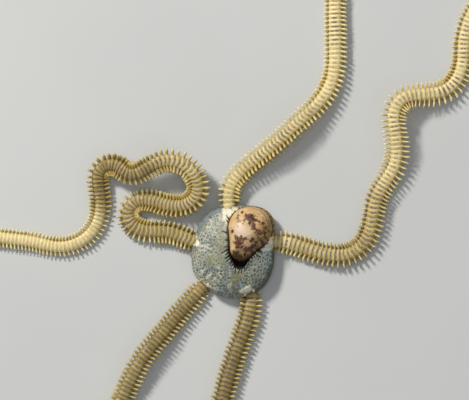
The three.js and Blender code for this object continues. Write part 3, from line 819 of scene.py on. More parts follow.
def mouth_material():
    g = Nodes("mouth_parts")
    base = g.mix(g.step(g.noise(0.3, 3.0, 0.6), 0.38, 0.64), rgb(206, 190, 150), rgb(234, 222, 190))
    base = plate_speckle(g, base, 0.12)
    return g.finish(base, 0.48, g.bump(g.noise(0.09, 3.0, 0.6), 0.015, 0.8), Specular_IOR_Level=0.45)


M_DISC, M_ARM = disc_skin_material(), arm_skin_material()
M_BACK, M_SIDE, M_UNDER = back_plate_material(), side_plate_material(), under_plate_material()
M_SPINE, M_BULGE, M_SHIELD, M_MOUTH = spine_material(), bulge_material(), shield_material(), mouth_material()


# ------------------------------------------------------------------ the arm's skin laid out flat, for the bake map
MAP_ROWS = 5


def map_row(arm, s_mid):
    run = (arm.total + arm.inner) / MAP_ROWS
    x = s_mid + arm.inner
    row = np.clip(np.floor(x / run), 0, MAP_ROWS - 1)
    return row, run


def map_place(arm, s_mid, s, around):
    """Place on the arm's flat layout: along the arm in rows, and around it from 0 to 1."""
    row, run = map_row(arm, s_mid)
    u = 0.03 + 0.94 * (s + arm.inner - row * run) / run
    v = (row + 0.03 + 0.9 * around) / MAP_ROWS
    return np.stack([u, v], -1)


class Tile:
    """A pillow of a plate: a grid on top, a skirt round it, and a closed underside."""

    def __init__(self, u, v):
        u, v = np.asarray(u, float), np.asarray(v, float)
        nu, nv = len(u), len(v)
        gv, gu = np.meshgrid(v, u, indexing="ij")
        idx = np.arange(nu * nv).reshape(nv, nu)
        loop = np.r_[idx[0, :], idx[1:, -1], idx[-1, -2::-1], idx[-2:0:-1, 0]]
        self.nb = len(loop)
        top = nu * nv
        self.U = np.r_[gu.ravel(), gu.ravel()[loop], 0.0]
        self.V = np.r_[gv.ravel(), gv.ravel()[loop], 0.5]
        self.kind = np.r_[np.zeros(top), np.ones(self.nb), 2.0]
        ring = top + np.arange(self.nb)
        nxt = np.roll(np.arange(self.nb), -1)
        grid, _ = strip_faces(nv, nu, False)
        skirt = np.stack([loop, ring, ring[nxt], loop[nxt]], 1)
        self.quads = np.concatenate([grid, skirt])
        self.tris = np.stack([ring, np.full(self.nb, top + self.nb), ring[nxt]], 1)
        # flat places from -1 to 1
        k = np.where(self.kind == 1, 0.98, 0.84)
        self.flat = np.stack([(2 * self.V - 1) * k, self.U * k], 1)
        ang = 2 * np.pi * np.arange(self.nb) / self.nb
        rim = np.stack([np.cos(ang), np.sin(ang)], 1)
        self.under = np.stack([rim, np.zeros_like(rim), rim[nxt]], 1)

    def spread(self, parts, arm, pts, slot, s, half_s, around, half_around, attrs):
        """Adds one copy for each row of pts (n, m, 3)."""
        n, m = pts.shape[:2]
        q, t, flipped = outward(pts[0], self.quads, self.tris)
        off = (np.arange(n) * m)[:, None, None]
        place = map_place(arm, s[:, None], s[:, None] + half_s[:, None] * self.flat[None, :, 0], around + half_around * self.flat[None, :, 1])
        uv4 = place[:, q, :].reshape(-1, 4, 2)
        under = self.under[:, ::-1] if flipped else self.under
        centre = map_place(arm, s, s, np.full_like(s, 0.5))
        row, _ = map_row(arm, s)
        centre[:, 1] = (row + 0.975 + 0.012 * around) / MAP_ROWS
        uv3 = (centre[:, None, None, :] + 0.0016 * under[None]).reshape(-1, 3, 2)
        parts.add(pts.reshape(-1, 3), (q[None] + off).reshape(-1, 4), (t[None] + off).reshape(-1, 3), slot, uv4, uv3,
                  **{k: v.reshape(-1, 4) for k, v in attrs.items()})


def off_floor(pts):
    """Keeps the lowest corners just off the floor."""
    z = pts[..., 2]
    return np.concatenate([pts[..., :2], np.where(z < 0.01, 0.01 + 0.1 * (z - 0.01), z)[..., None]], -1)


def swept(arm, s, phi):
    """How far, in joints, the outline at the angle phi runs ahead of the midline."""
    return np.interp(s, *zip(*SWEEPS[arm.name])) * (1 - np.exp(-((np.abs((phi + 90.0) % 360.0 - 180.0) / 48.0) ** 1.8)))


BACK_TILE = Tile((-1, -0.86, -0.6, -0.3, 0, 0.3, 0.6, 0.86, 1), (0, 0.16, 0.36, 0.52, 0.63, 0.74, 0.87, 1))
SIDE_TILE = Tile(np.linspace(-1, 1, 7), (0, 0.25, 0.5, 0.64, 0.76, 0.88, 1))
UNDER_TILE = Tile(np.linspace(-1, 1, 5), np.linspace(0, 1, 4))
ones = lambda *a: np.stack(np.broadcast_arrays(*a), -1)


def arm_plates(arm):
    parts = Parts()
    along = lambda keep: (arm.s[keep], arm.p[keep], arm.fall(arm.s[keep]))
    tag = np.arange(len(arm.s))
    rnd = _hash(tag, tag * 0 + arm.index, tag * 0, 3)
    lumps = noise(np.stack([arm.s, arm.s * 0 + 11.0 * arm.index], 1), 3.4, 71)
    fine = _hash(tag, tag * 0 + arm.index, tag * 0, 9)

    # back plates: broad bars, each with a raised front crest over a sunken lens
    keep = arm.s > -2.0
    s, p, f = along(keep)
    T = BACK_TILE
    U, V = T.U[None], T.V[None]
    jit = (rnd[keep] - 0.5)[:, None]
    wprof = 1 - np.where(V < 0.7, 0.20 * ((V - 0.7) / 0.7) ** 2, 0.26 * ((V - 0.7) / 0.3) ** 2)
    phi = 90 - U * 67 * wprof * (1 + 0.05 * jit)
    ss = s[:, None] + p[:, None] * ((V - 0.5) * 1.10 * (1 - 0.14 * np.abs(U) ** 3) + 0.02 * (1 - U**2) + swept(arm, s[:, None], phi))
    crest = np.exp(-(np.abs((V - 0.70) / 0.25) ** 2.6))
    swell = 1 + 0.35 * noise(np.stack([ss * 1.0, U * 1.1 + ss * 0, ss * 0 + arm.index * 3.0], -1), 0.9, 19)
    r = 0.072 * crest * swell * (1 - 0.22 * np.abs(U) ** 3) + 0.02 * smooth(V, 0.75, 1.0) - 0.026 * np.exp(-(((V - 0.20) / 0.16) ** 2)) * (1 - U**2)
    r = r + 0.016 * noise(np.stack([ss * 1.0, U * 0.6 + ss * 0, ss * 0 + arm.index * 7.0], -1), 0.22, 15) * (T.kind[None] == 0)
    r = np.where(T.kind[None] == 1, r - 0.12, np.where(T.kind[None] == 2, -0.15, r))
    pts = arm.surface(ss, phi, r * f[:, None] ** 0.7)
    # how strong, how wide and how split the lens is goes in groups along the arm
    pale = np.interp(s, *zip(*PALE[arm.name]))
    lens = np.interp(s, *zip(*LENSES[arm.name]))
    strength = np.clip(lens * (1 + 0.5 * lumps[keep] + 0.6 * (fine[keep] - 0.5)), 0.0, 1.0) * smooth(s, -0.3, 1.2)
    wide = np.clip(0.40 + 0.42 * lens + 0.2 * lumps[keep] + 0.35 * (rnd[keep] - 0.5), 0.28, 0.98)
    split = (_hash(tag, tag * 0 + arm.index, tag * 0, 12)[keep] > 0.62) * 0.8
    tone = np.clip(pale + 0.16 * noise(np.stack([s, s * 0 + 5.0 * arm.index], 1), 3.0, 33) + 0.26 * (fine[keep] - 0.5), 0, 1)
    T.spread(parts, arm, pts, 0, s, 0.47 * p, 0.61, 0.138, {
        "pa": ones((U + 1) / 2, V, rnd[keep][:, None], strength[:, None]),
        "pb": ones(tone[:, None], wide[:, None], split[:, None], np.interp(s, *zip(*LEE_SHADE[arm.name]))[:, None] + 0 * U),
    })

    # side plates: each with a raised crest near its outer edge that carries the spines
    T = SIDE_TILE
    q, V = (T.U[None] + 1) / 2, T.V[None]
    s, p, f = along(arm.s > -arm.inner + 0.9)
    rn = rnd[arm.s > -arm.inner + 0.9][:, None]
    for side, around in ((1, 0.335), (-1, 0.875)):
        phi = 44 - 98 * q
        phi = phi if side > 0 else 180 - phi
        ss = s[:, None] + p[:, None] * ((V - 0.5) * 1.06 + 0.03 * np.sin(np.pi * q) + swept(arm, s[:, None], phi))
        crest = np.exp(-(((V - 0.72) / 0.19) ** 2))
        r = -0.018 + 0.128 * crest * np.sin(np.pi * np.clip(q * 0.86 + 0.09, 0, 1)) ** 0.5 + 0.02 * smooth(V, 0.0, 0.3) + 0.02 * smooth(V, 0.8, 1.0)
        knob = sum(np.exp(-(((q - c) / 0.09) ** 2)) for c in (0.265, 0.51, 0.755))
        r = r + 0.03 * knob * crest - 0.07 * (1 - smooth(q, 0.02, 0.17))
        r = np.where(T.kind[None] == 1, r - 0.09, np.where(T.kind[None] == 2, -0.13, r))
        pts = off_floor(arm.surface(ss, phi, r * f[:, None] ** 0.7))
        # painted shade: how golden this side is, from the side turned from the light and the bend
        shade_gold = arm.shade_gold(s, side)
        T.spread(parts, arm, pts, 1, s, 0.47 * p, around, 0.118, {
            "pa": ones(q, V, rn, np.full((1, 1), (side + 1) / 2)),
            "pb": ones(np.interp(s, *zip(*PALE[arm.name]))[:, None] + 0 * q, V * 0, shade_gold[:, None], np.interp(s, *zip(*LEE_SHADE[arm.name]))[:, None]),
        })

    # underside plates
    T = UNDER_TILE
    U, V = T.U[None], T.V[None]
    phi = 270 + U * 39 * (0.8 + 0.2 * smooth(V, 0.0, 0.5))
    ss = s[:, None] + p[:, None] * ((V - 0.5) * 1.03 * (1 - 0.14 * U**2) + 0.03 * (1 - U**2) + swept(arm, s[:, None], 270.0))
    r = 0.004 + 0.022 * smooth(V, 0.1, 0.6) * (1 - 0.6 * U**2)
    r = np.where(T.kind[None] == 1, r - 0.08, np.where(T.kind[None] == 2, -0.11, r)) + 0 * s[:, None]
    pts = off_floor(arm.surface(ss, phi, r * f[:, None]))
    T.spread(parts, arm, pts, 2, s, 0.47 * p, 0.1, 0.095, {
        "pa": ones((U + 1) / 2, V, rn, np.ones((1, 1))),
        "pb": ones(U * 0, V * 0, rn, (s / arm.total)[:, None]),
    })
    return parts.piece(f"plates_{arm.name}", [M_BACK, M_SIDE, M_UNDER])


SPINE_RINGS = np.array([0.0, 0.10, 0.32, 0.56, 0.78, 0.93])
SPINE_SHAPE = np.array([0.84, 1.0, 1.03, 1.02, 0.95, 0.70])
SPINE_SIDES = 7


def arm_spines(arm):
    parts = Parts()
    tag = np.arange(len(arm.s))
    for side in (1, -1):
        for level, (phi, rise, lean, knob) in enumerate(((18.0, 12.0, -12.0, 0.265), (-6.0, 0.0, -10.0, 0.51), (-30.0, -14.0, -9.0, 0.755))):
            starts = (0.1, -0.1, -3.4)[level]
            keep = (arm.s > starts) & (arm.s < arm.total - 0.4)
            s0, p, t = arm.s[keep], arm.p[keep], tag[keep]
            f = arm.fall(s0)
            s = s0 + p * (0.205 + swept(arm, s0, float(phi)))
            h = [(_hash(t, t * 0 + arm.index, t * 0 + level + 5 * (side + 1), k) - 0.5) * 2 for k in (101, 102, 103, 104)]
            c, left, up, fwd, wide, half = arm.frame(s)
            k = np.interp(s, arm.S, arm.K)
            ang = np.full_like(s, phi if side > 0 else 180 - phi)
            base = arm.surface(s, ang, np.full_like(s, 0.03))
            at, slim, long = zip(*SLIM[arm.name])
            length = SPINE_LENGTH * np.interp(s0, at, long) * f**0.8 * (1 + 0.09 * h[0]) * (1.0, 1.02, 0.9)[level] * (0.62 + 0.38 * smooth(s0, -1.2, 0.9))
            # on the inside of a tight bend the spines crowd, shorten from above and stand up or down
            out = np.abs(np.einsum("ij,ij->i", base - c, left))
            room = np.where(side * k > 0.02, 0.86 / np.maximum(np.abs(k), 1e-6), 9.0) - out
            crowd = np.clip(1 - room / (length + 0.05), 0, 1)
            # and on the outside they fan apart
            eps = np.radians(rise + 4 * h[1] + crowd * (48, 14, -30)[level] + crowd * 8 * h[3])
            fan = smooth(-side * k, 0.04, 0.30)
            lam = np.radians((lean * (1 - 0.85 * fan) + 3.5 * h[2]) * (1 - 0.7 * crowd))
            length = length * (1 - 0.28 * crowd)
            d = np.cos(eps)[:, None] * side * left + np.sin(eps)[:, None] * up
            d = np.cos(lam)[:, None] * d + np.sin(lam)[:, None] * fwd
            # keep the tips off the floor
            least = 0.035 + SPINE_THICK / 2 * 1.1 * f**0.75
            low = base[:, 2] + d[:, 2] * length < least
            d[low, 2] = (least - base[:, 2])[low] / length[low]
            d /= np.linalg.norm(d, axis=1, keepdims=True)
            e1 = fwd - np.einsum("ij,ij->i", fwd, d)[:, None] * d
            e1 /= np.linalg.norm(e1, axis=1, keepdims=True)
            e2 = np.cross(d, e1)
            thick = SPINE_THICK / 2 * np.interp(s0, at, slim) * (0.94 + 0.34 * arm.shade_gold(s0, side)) * f**0.75 * (1 + 0.08 * h[3])
            thick = np.maximum(thick, 0.03)
            x = SPINE_RINGS[None, :, None]
            bend = (0.02 + 0.04 * h[1])[:, None, None]
            mid = base[:, None] - d[:, None] * 0.05 + d[:, None] * (length[:, None, None] + 0.05) * x + e1[:, None] * bend * length[:, None, None] * x**2
            a = 2 * np.pi * (np.arange(SPINE_SIDES) + 0.5 * (level % 2)) / SPINE_SIDES
            rad = (thick[:, None] * SPINE_SHAPE[None])[:, :, None, None]
            ring = mid[:, :, None] + rad * (np.cos(a)[None, None, :, None] * e1[:, None, None] + 0.84 * np.sin(a)[None, None, :, None] * e2[:, None, None])
            n = len(s)
            tip = base + d * length[:, None] + e1 * (bend[:, 0] * length[:, None])
            pts = off_floor(np.concatenate([ring.reshape(n, -1, 3), (base - d * 0.05)[:, None], tip[:, None]], 1))
            m = pts.shape[1]
            rows = len(SPINE_RINGS)
            q, rc = strip_faces(rows, SPINE_SIDES, True)
            i = np.arange(SPINE_SIDES)
            j = (i + 1) % SPINE_SIDES
            last = (rows - 1) * SPINE_SIDES
            tri = np.concatenate([np.stack([np.full_like(i, m - 2), j, i], 1), np.stack([np.full_like(i, m - 1), last + i, last + j], 1)])
            q, tri, flipped = outward(pts[0], q, tri)
            if flipped:
                rc = rc[:, ::-1]
            # bake map: one small patch at its root's place
            row = np.full_like(s, 0.61)
            around = {1: (0.40, 0.335, 0.27), -1: (0.81, 0.875, 0.94)}[side][level]
            root = map_place(arm, s0, s, np.full_like(s, around))
            wide_uv, long_uv = 0.0042, 0.0105
            cu = (rc[..., 1] / SPINE_SIDES - 0.5) * wide_uv
            cv = (np.r_[SPINE_RINGS, 1.0][rc[..., 0]] * 0.92 - 0.5) * long_uv
            uv4 = root[:, None, None, :] + np.stack([cu, cv], -1)[None]
            tu = np.stack([np.zeros(SPINE_SIDES), (j - 0.5) * 0 + (i + 1), i], 1) / SPINE_SIDES - 0.5
            tuv = []
            for base_end in (True, False):
                end = -0.53 if base_end else 0.5
                edge = -0.5 if base_end else SPINE_RINGS[-1] * 0.92 - 0.5
                a3 = np.stack([np.stack([(i + 0.5) / SPINE_SIDES - 0.5, (i + (1 if base_end else 0)) / SPINE_SIDES - 0.5, (i + (0 if base_end else 1)) / SPINE_SIDES - 0.5], 1) * wide_uv,
                               np.stack([np.full(SPINE_SIDES, end), np.full(SPINE_SIDES, edge), np.full(SPINE_SIDES, edge)], 1) * long_uv], -1)
                tuv.append(a3)
            tuv = np.concatenate(tuv)
            if flipped:
                tuv = tuv[:, ::-1]
            uv3 = root[:, None, None, :] + tuv[None]
            off = (np.arange(n) * m)[:, None, None]
            alongv = np.r_[np.repeat(SPINE_RINGS, SPINE_SIDES), 0.0, 1.0]
            aroundv = np.r_[np.tile(i / SPINE_SIDES, rows), 0.5, 0.5]
            # painted shade: gold and tone make the spines more golden and darker on the side turned from the light,
            # inside bends and on dulled arms
            shade_gold = arm.shade_gold(s0, side)
            gold = np.clip(0.15 + 0.2 * h[2] + (0, 0.12, 0.3)[level] + 0.75 * shade_gold, 0, 1)
            tone = np.clip(np.interp(s0, *zip(*PALE[arm.name])) + 0.24 + 0.18 * h[3] - 0.2 * shade_gold - 0.2 * np.interp(s0, *zip(*LEE_SHADE[arm.name])), 0, 1)
            sa = ones(alongv[None], aroundv[None], tone[:, None], gold[:, None])
            parts.add(pts.reshape(-1, 3), (q[None] + off).reshape(-1, 4), (tri[None] + off).reshape(-1, 3), 0, uv4.reshape(-1, 4, 2), uv3.reshape(-1, 3, 2), sa=sa.reshape(-1, 4))
    return parts.piece(f"spines_{arm.name}", [M_SPINE])


# ------------------------------------------------------------------ one skin: the disc and the soft part of the arms
skin = Parts()


def arm_skin(parts, arm):
    """The soft tube that the plates lie in, from the mouth to the tip, in one closed shape."""
    joints = np.r_[arm.s[0] - arm.p[0] / 2, arm.s + arm.p / 2]
    s = np.sort(np.r_[joints, arm.s])
    s = np.r_[s, arm.total - 0.06]
    n_round = 12
    phi = np.linspace(0, 360, n_round, endpoint=False)
    f = arm.fall(s)
    at_joint = np.isin(s, joints)
    out = -SKIN_SINK * f - np.where(at_joint, 0.035, 0.0) * f
    out[-1] = -0.3 * arm.girth(s[-1:])[0][0]
    pitch = np.interp(s, arm.s, arm.p)
    ahead = np.minimum(swept(arm, s[:, None], phi[None]) * pitch[:, None], np.maximum(arm.total - 0.02 - s, 0)[:, None])
    pts = arm.surface(s[:, None] + ahead, np.broadcast_to(phi, ahead.shape), np.broadcast_to(out[:, None], ahead.shape))
    n = len(s)
    ends = np.stack([pts[0].mean(0), arm.surface(np.array([arm.total]), np.array([90.0]), np.array([-arm.girth(np.array([arm.total]))[1][0]]))[0]])
    v = np.concatenate([pts.reshape(-1, 3), ends])
    q, rc = strip_faces(n, n_round, True)
    i = np.arange(n_round)
    j = (i + 1) % n_round
    tri = np.concatenate([np.stack([np.full_like(i, n * n_round), j, i], 1), np.stack([np.full_like(i, n * n_round + 1), (n - 1) * n_round + i, (n - 1) * n_round + j], 1)])
    q, tri, flipped = outward(v, q, tri)
    if flipped:
        rc = rc[:, ::-1]
    # bake map: two rows for each arm in the lower third
    x = (s + arm.inner) / (arm.total + arm.inner) * 2
    sq = x[np.minimum(rc[..., 0], n - 1)]
    row = np.clip(np.floor(sq.mean(1)), 0, 1)[:, None]
    u = 0.01 + 0.97 * np.clip(sq - row, -0.004, 1.004)
    w = (arm.index * 2 + row + 0.08 + 0.84 * rc[..., 1] / n_round) / 10 * 0.34
    uv4 = np.stack([u, w], -1)
    uv3 = np.full((len(tri), 3, 2), 0.0) + np.array([0.995, (arm.index + 0.5) / 5 * 0.34])
    uv3 = uv3 + 0.002 * np.array([[0, 0], [1, 0], [0, 1]])
    parts.add(v, q, tri, 1, uv4, uv3)


for arm in arms:
    arm_skin(skin, arm)

ROUND = 500
theta = np.arange(ROUND) * 360.0 / ROUND
inner = radius_where(slit, SLIT_CENTRE, theta)
outer = radius_where(lambda x, y: reach(x, y) - 1, SLIT_CENTRE, theta)
lip = np.stack([SLIT_CENTRE[0] + inner * np.cos(np.radians(theta)), SLIT_CENTRE[1] + inner * np.sin(np.radians(theta))], 1)
seg = np.hypot(*(np.roll(lip, -1, 0) - lip).T)
ELL = np.r_[0, np.cumsum(seg)[:-1]]
ELL_ALL = seg.sum()

# the pleats of the slit: where on the lip, how long, how deep, how wide, and how dark the painted shade in its crease
# is
pleats = []
at = 0.0
while at < ELL_ALL:
    th = float(np.interp(at, ELL, theta))
    r = RNG.rand(5)
    if 205 <= th < 335:
        more = 0.34 * math.exp(-(((th - 262) / 30) ** 2))
        pleats.append((at, 0.34 + more + 0.62 * r[0] ** 2, 0.07 + 0.05 * r[1], 0.042 + 0.022 * r[2], 0.75 + 0.25 * r[3]))
        at += 0.28 + 0.20 * r[4]
    elif 188 <= th < 205:
        pleats.append((at, 0.22 + 0.36 * r[0] ** 2, 0.045 + 0.045 * r[1], 0.04 + 0.02 * r[2], 0.4 + 0.4 * r[3]))
        at += 0.42 + 0.3 * r[4]
    elif 118 <= th < 188:
        if th > 172:
            pleats.append((at, 0.14 + 0.28 * r[0] ** 2, 0.035 + 0.03 * r[1], 0.045 + 0.02 * r[2], 0.3 + 0.35 * r[3]))
        at += 0.62 + 0.5 * r[4]
    else:
        pleats.append((at, 0.12 + 0.16 * r[0], 0.03 + 0.03 * r[1], 0.05 + 0.03 * r[2], 0.25 + 0.3 * r[3]))
        at += 0.5 + 0.3 * r[4]


def on_lip(u, v):
    x, y = px(u, v)
    th = math.degrees(math.atan2(y - SLIT_CENTRE[1], x - SLIT_CENTRE[0])) % 360
    return float(np.interp(th, theta, ELL))


for u, v, length in ((229, 219, 0.85), (229, 223.5, 0.55), (228.5, 234.5, 0.85), (228.5, 240.5, 0.35), (228, 250.2, 1.15), (228, 253, 0.5), (228, 256, 0.8), (229, 260, 0.85), (230.5, 264, 0.7), (262, 252.5, 0.5)):
    pleats.append((on_lip(u, v), length, 0.11, 0.052, 1.0))


def segment_distance(x, y, a, b):
    ax, ay = px(*a)
    bx, by = px(*b)
    t = np.clip(((x - ax) * (bx - ax) + (y - ay) * (by - ay)) / ((bx - ax) ** 2 + (by - ay) ** 2), 0, 1)
    return np.hypot(x - ax - t * (bx - ax), y - ay - t * (by - ay)), t


def blob(x, y, u, v, ru, rv, turn=0.0, soft=0.35, jag=0.25):
    """A soft-edged oval at a place of the picture's frame, its radii in its pixels, its edge uneven."""
    cx, cy = px(u, v)
    c, s = math.cos(math.radians(turn)), math.sin(math.radians(turn))
    dx, dy = (x - cx) / 0.14, (y - cy) / 0.14
    a, b = (dx * c + dy * s) / ru, (-dx * s + dy * c) / rv
    r = np.hypot(a, b) + jag * fbm(np.stack([x, y], -1), 0.5, 77)
    return 1 - smooth(r, 1 - soft, 1 + soft)


# creases and folds: from, to, half width (px), height (mm), how white
FOLDS = [
    ((196.5, 245.5), (204, 246.6), 1.2, 0.06, 0.6), ((204, 246.6), (212, 250.0), 1.0, 0.05, 0.4), ((198, 242.5), (206.5, 240.0), 1.0, 0.05, 0.4),
    ((197.5, 248.5), (203.5, 254.0), 1.0, 0.05, 0.35), ((199, 244.2), (209, 243.4), 0.9, -0.07, 0.0), ((199.5, 248.4), (208, 251.0), 0.9, -0.07, 0.0),
    ((203, 247.0), (210, 245.4), 0.8, 0.04, 0.35),
    ((205.5, 280.0), (212, 273.0), 1.5, 0.12, 0.85), ((203.6, 277.0), (209, 271.0), 1.3, -0.09, 0.0), ((207, 284.0), (214.5, 278.6), 1.4, -0.08, 0.0),
    ((203, 283.5), (212, 287.5), 1.3, 0.08, 0.9), ((201, 273.0), (206.5, 268.0), 1.2, 0.05, 0.4), ((211, 281.6), (217.5, 277.0), 1.2, 0.06, 0.45), ((212, 287.5), (219, 291.5), 1.2, 0.04, 0.35), ((226.5, 216), (227.5, 229), 1.5, 0.06, 0.7),
    ((265, 249), (268.5, 240), 1.6, 0.07, 0.8), ((243, 289.5), (250, 286.5), 1.6, 0.06, 0.6), ((239, 280), (243, 290), 1.3, 0.04, 0.35),
    ((251, 274), (262, 270), 1.6, -0.035, 0.0), ((214, 232), (219, 238), 1.5, 0.03, 0.2), ((212, 266), (222, 269), 1.7, 0.03, 0.2),
]
# the white ends of the paired shields at the arms: u, v, radii, turn, strength, height
SHIELD_ENDS = [
    (227.5, 212.5, 5.8, 4.8, -28, 1.0, 0.12), (235.0, 212.0, 3.4, 6.0, 0, 0.85, 0.10), (226.0, 217.5, 3.6, 4.0, 0, 0.8, 0.06), (226.2, 220, 1.6, 3.4, 0, 0.75, 0.05),
    (197.2, 243.2, 2.0, 3.6, 0, 1.0, 0.10), (196.2, 236.5, 1.6, 3.0, 10, 0.35, 0.07),
    (203.2, 283.6, 3.0, 1.9, -35, 0.95, 0.09), (199.6, 279.5, 1.8, 2.6, 30, 0.4, 0.06),
    (247.6, 289.4, 4.4, 2.6, 30, 1.0, 0.11), (242.4, 291.6, 3.2, 2.0, -8, 0.75, 0.08),
    (270.0, 241.0, 3.6, 5.0, 20, 1.0, 0.12), (268.4, 247.6, 3.4, 3.2, 0, 0.85, 0.08), (264.0, 249.6, 3.4, 2.0, -30, 0.6, 0.05),
]


def gape(th):
    """How open the slit is and how dark its painted shade, by the angle round its middle: 1 below the bulge, little
    above it.
    """
    return 0.04 + 0.96 * np.clip(np.exp(-((gap(th, 253) / 48) ** 4)) + 0.30 * np.exp(-((gap(th, 194) / 30) ** 4)), 0, 1)


def dig(th):
    """How deep the slit is, by the angle round its middle: 1 below the bulge, a crease elsewhere."""
    return np.clip(np.exp(-((gap(th, 256) / 46) ** 6)), 0, 1)


def back_finish(x, y, d, ell):
    """Height and masks of the disc's back. d is how far from the slit's lip, ell how far round it."""
    P = np.stack([x, y], -1)
    rho, az = reach(x, y), azimuth(x, y)
    out = {}
    dz = 0.07 * fbm(P, 1.9, 1) + 0.035 * fbm(P, 0.7, 2) + 0.014 * noise(P, 0.26, 4)
    # pleats: grooves with painted shade in their creases
    pl, deep = np.zeros_like(x), np.zeros_like(x)
    for at, length, depth, width, dark in pleats:
        gapl = (ell - at + ELL_ALL / 2) % ELL_ALL - ELL_ALL / 2
        gapl = gapl + 0.06 * np.sin(d * 3.1 + at * 5)
        w = width * np.clip(1.9 - 1.3 * d / length, 0.5, 2.0)
        k = np.exp(-((gapl / w) ** 2)) * (1 - smooth(d, length * 0.75, length * 1.1))
        pl = np.maximum(pl, k * dark)
        deep = np.maximum(deep, k * depth)
    dz = dz - deep * 1.15 + 0.05 * np.exp(-((d / 0.5) ** 2)) * (1 - smooth(pl, 0.1, 0.5))
    pleat_shade = smooth(pl, 0.14, 0.5)
    white = np.zeros_like(x)
    for a, b, w, high, pale in FOLDS:
        dist, t = segment_distance(x, y, a, b)
        k = np.exp(-((dist / (w * 0.14)) ** 2)) * (0.35 + 0.65 * np.sin(np.pi * np.clip(t, 0.08, 0.92)))
        dz = dz + high * k
        white = np.maximum(white, pale * smooth(k + 0.25 * fbm(P, 0.35, 21), 0.3, 0.75))
    cream = np.zeros_like(x)
    for u, v, ru, rv, turn, strong, high in SHIELD_ENDS:
        k = blob(x, y, u, v, ru, rv, turn)
        cream = np.maximum(cream, k * strong)
        dz = dz + high * blob(x, y, u, v, ru * 1.15, rv * 1.15, turn, 0.6, 0.0)
    # a low ridge over each pair of shields, running inwards from the arm
    for at in AZIMUTH.values():
        side = gap(az, at)
        dz = dz + 0.07 * np.exp(-(((side - 7) / 4.0) ** 2)) * smooth(rho, 0.68, 0.86) * (1 - 0.4 * smooth(rho, 0.95, 1.0))
    rim_ul = smooth(rho + 0.03 * fbm(P, 0.8, 31), 0.865, 0.93) * (1 - smooth(gap(az, 139), 30, 40))
    # the right rim: partly its own olive colour, partly painted shade on the side turned from the light
    rim_r = smooth(rho + 0.03 * fbm(P, 0.8, 32), 0.915, 0.97) * (1 - smooth(gap(az, -30), 26, 40))
    olive = np.maximum.reduce([
        blob(x, y, 235.6, 278.5, 4.4, 6.4, 0, 0.3), 0.72 * blob(x, y, 210.5, 260.6, 8, 4.6, 12, 0.5), 0.5 * blob(x, y, 208.5, 282.5, 4, 2.6, 20, 0.5),
        0.35 * blob(x, y, 231.5, 290, 4, 4, 0, 0.6), 0.3 * blob(x, y, 216, 242, 5.5, 6, 0, 0.7), 0.3 * blob(x, y, 224, 262, 5, 7, 0, 0.7)])
    quiet = np.maximum.reduce([blob(x, y, 235.6, 278.5, 5.2, 7.2, 0, 0.3), 0.45 * blob(x, y, 222, 258, 5, 13, 12, 0.6), 0.4 * blob(x, y, 223, 232, 3.0, 8, 0, 0.6),
                               0.6 * blob(x, y, 238, 291, 6, 4, 0, 0.6)])
    # the swollen edge round the bulge: folded, tan and brown
    e = egg(x, y, BULGE_BIG, BULGE_SMALL)
    beta = np.degrees(np.arctan2(y - BULGE_BIG[1], x - BULGE_BIG[0]))
    swell = (1 - smooth(gap(beta, 24), 52, 74)) * (1 - smooth(e, 1.0, 1.5))
    dz = dz + 0.05 * np.sin(2 * np.pi * (e + 0.04 * fbm(P, 0.9, 35)) / 0.36) * swell
    net_on = (1 - rim_ul) * (1 - rim_r) * (1 - quiet) * (1 - 0.75 * cream) * (1 - smooth(swell, 0.3, 0.8))
    warm = blob(x, y, 222, 240, 5, 16, 0, 0.8) * 0.8
    # the lip: painted shade where it dives into the slit, widest below the bulge
    th = np.degrees(np.arctan2(y - SLIT_CENTRE[1], x - SLIT_CENTRE[0])) % 360
    band = 0.02 + 0.08 * np.exp(-((gap(th, 258) / 26) ** 2)) + 0.02 * np.exp(-((gap(th, 306) / 18) ** 2))
    jag = 0.12 * fbm(np.stack([ell * 1.0, d * 0.2], -1), 0.26, 41) * (band / 0.15)
    pit_shade = 1 - smooth(d + jag, band * 0.5, band * 1.3)
    pit_shade = pit_shade * gape(th)
    hush = np.maximum.reduce([rim_ul, rim_r, quiet, cream * 0.7])
    out["da"] = np.stack([np.clip(net_on, 0, 1), smooth(swell, 0.25, 0.7) * (1 - cream), pit_shade, np.clip(cream, 0, 1)], -1)
    # painted shade over the lower right of the disc and over its bottom
    dusk_shade = np.maximum(0.8 * blob(x, y, 262, 282, 20, 22, 0, 0.8, 0.4), 0.35 * blob(x, y, 222, 292, 18, 10, 0, 0.8, 0.4))
    out["db"] = np.stack([olive, np.clip(white, 0, 1), rim_ul, np.zeros_like(x)], -1)
    blue = np.maximum.reduce([blob(x, y, 267.5, 265, 6, 22, 0, 0.6), blob(x, y, 241, 284, 4, 4.5, 0, 0.6), 0.9 * blob(x, y, 221, 293, 8, 4, 0, 0.7), 0.5 * blob(x, y, 203, 264, 5, 9, 0, 0.8)])
    out["dd"] = np.stack([dusk_shade, blue, np.zeros_like(x), np.zeros_like(x)], -1)
    out["dc"] = np.stack([pleat_shade, rim_r, warm, hush], -1)
    return dz, out


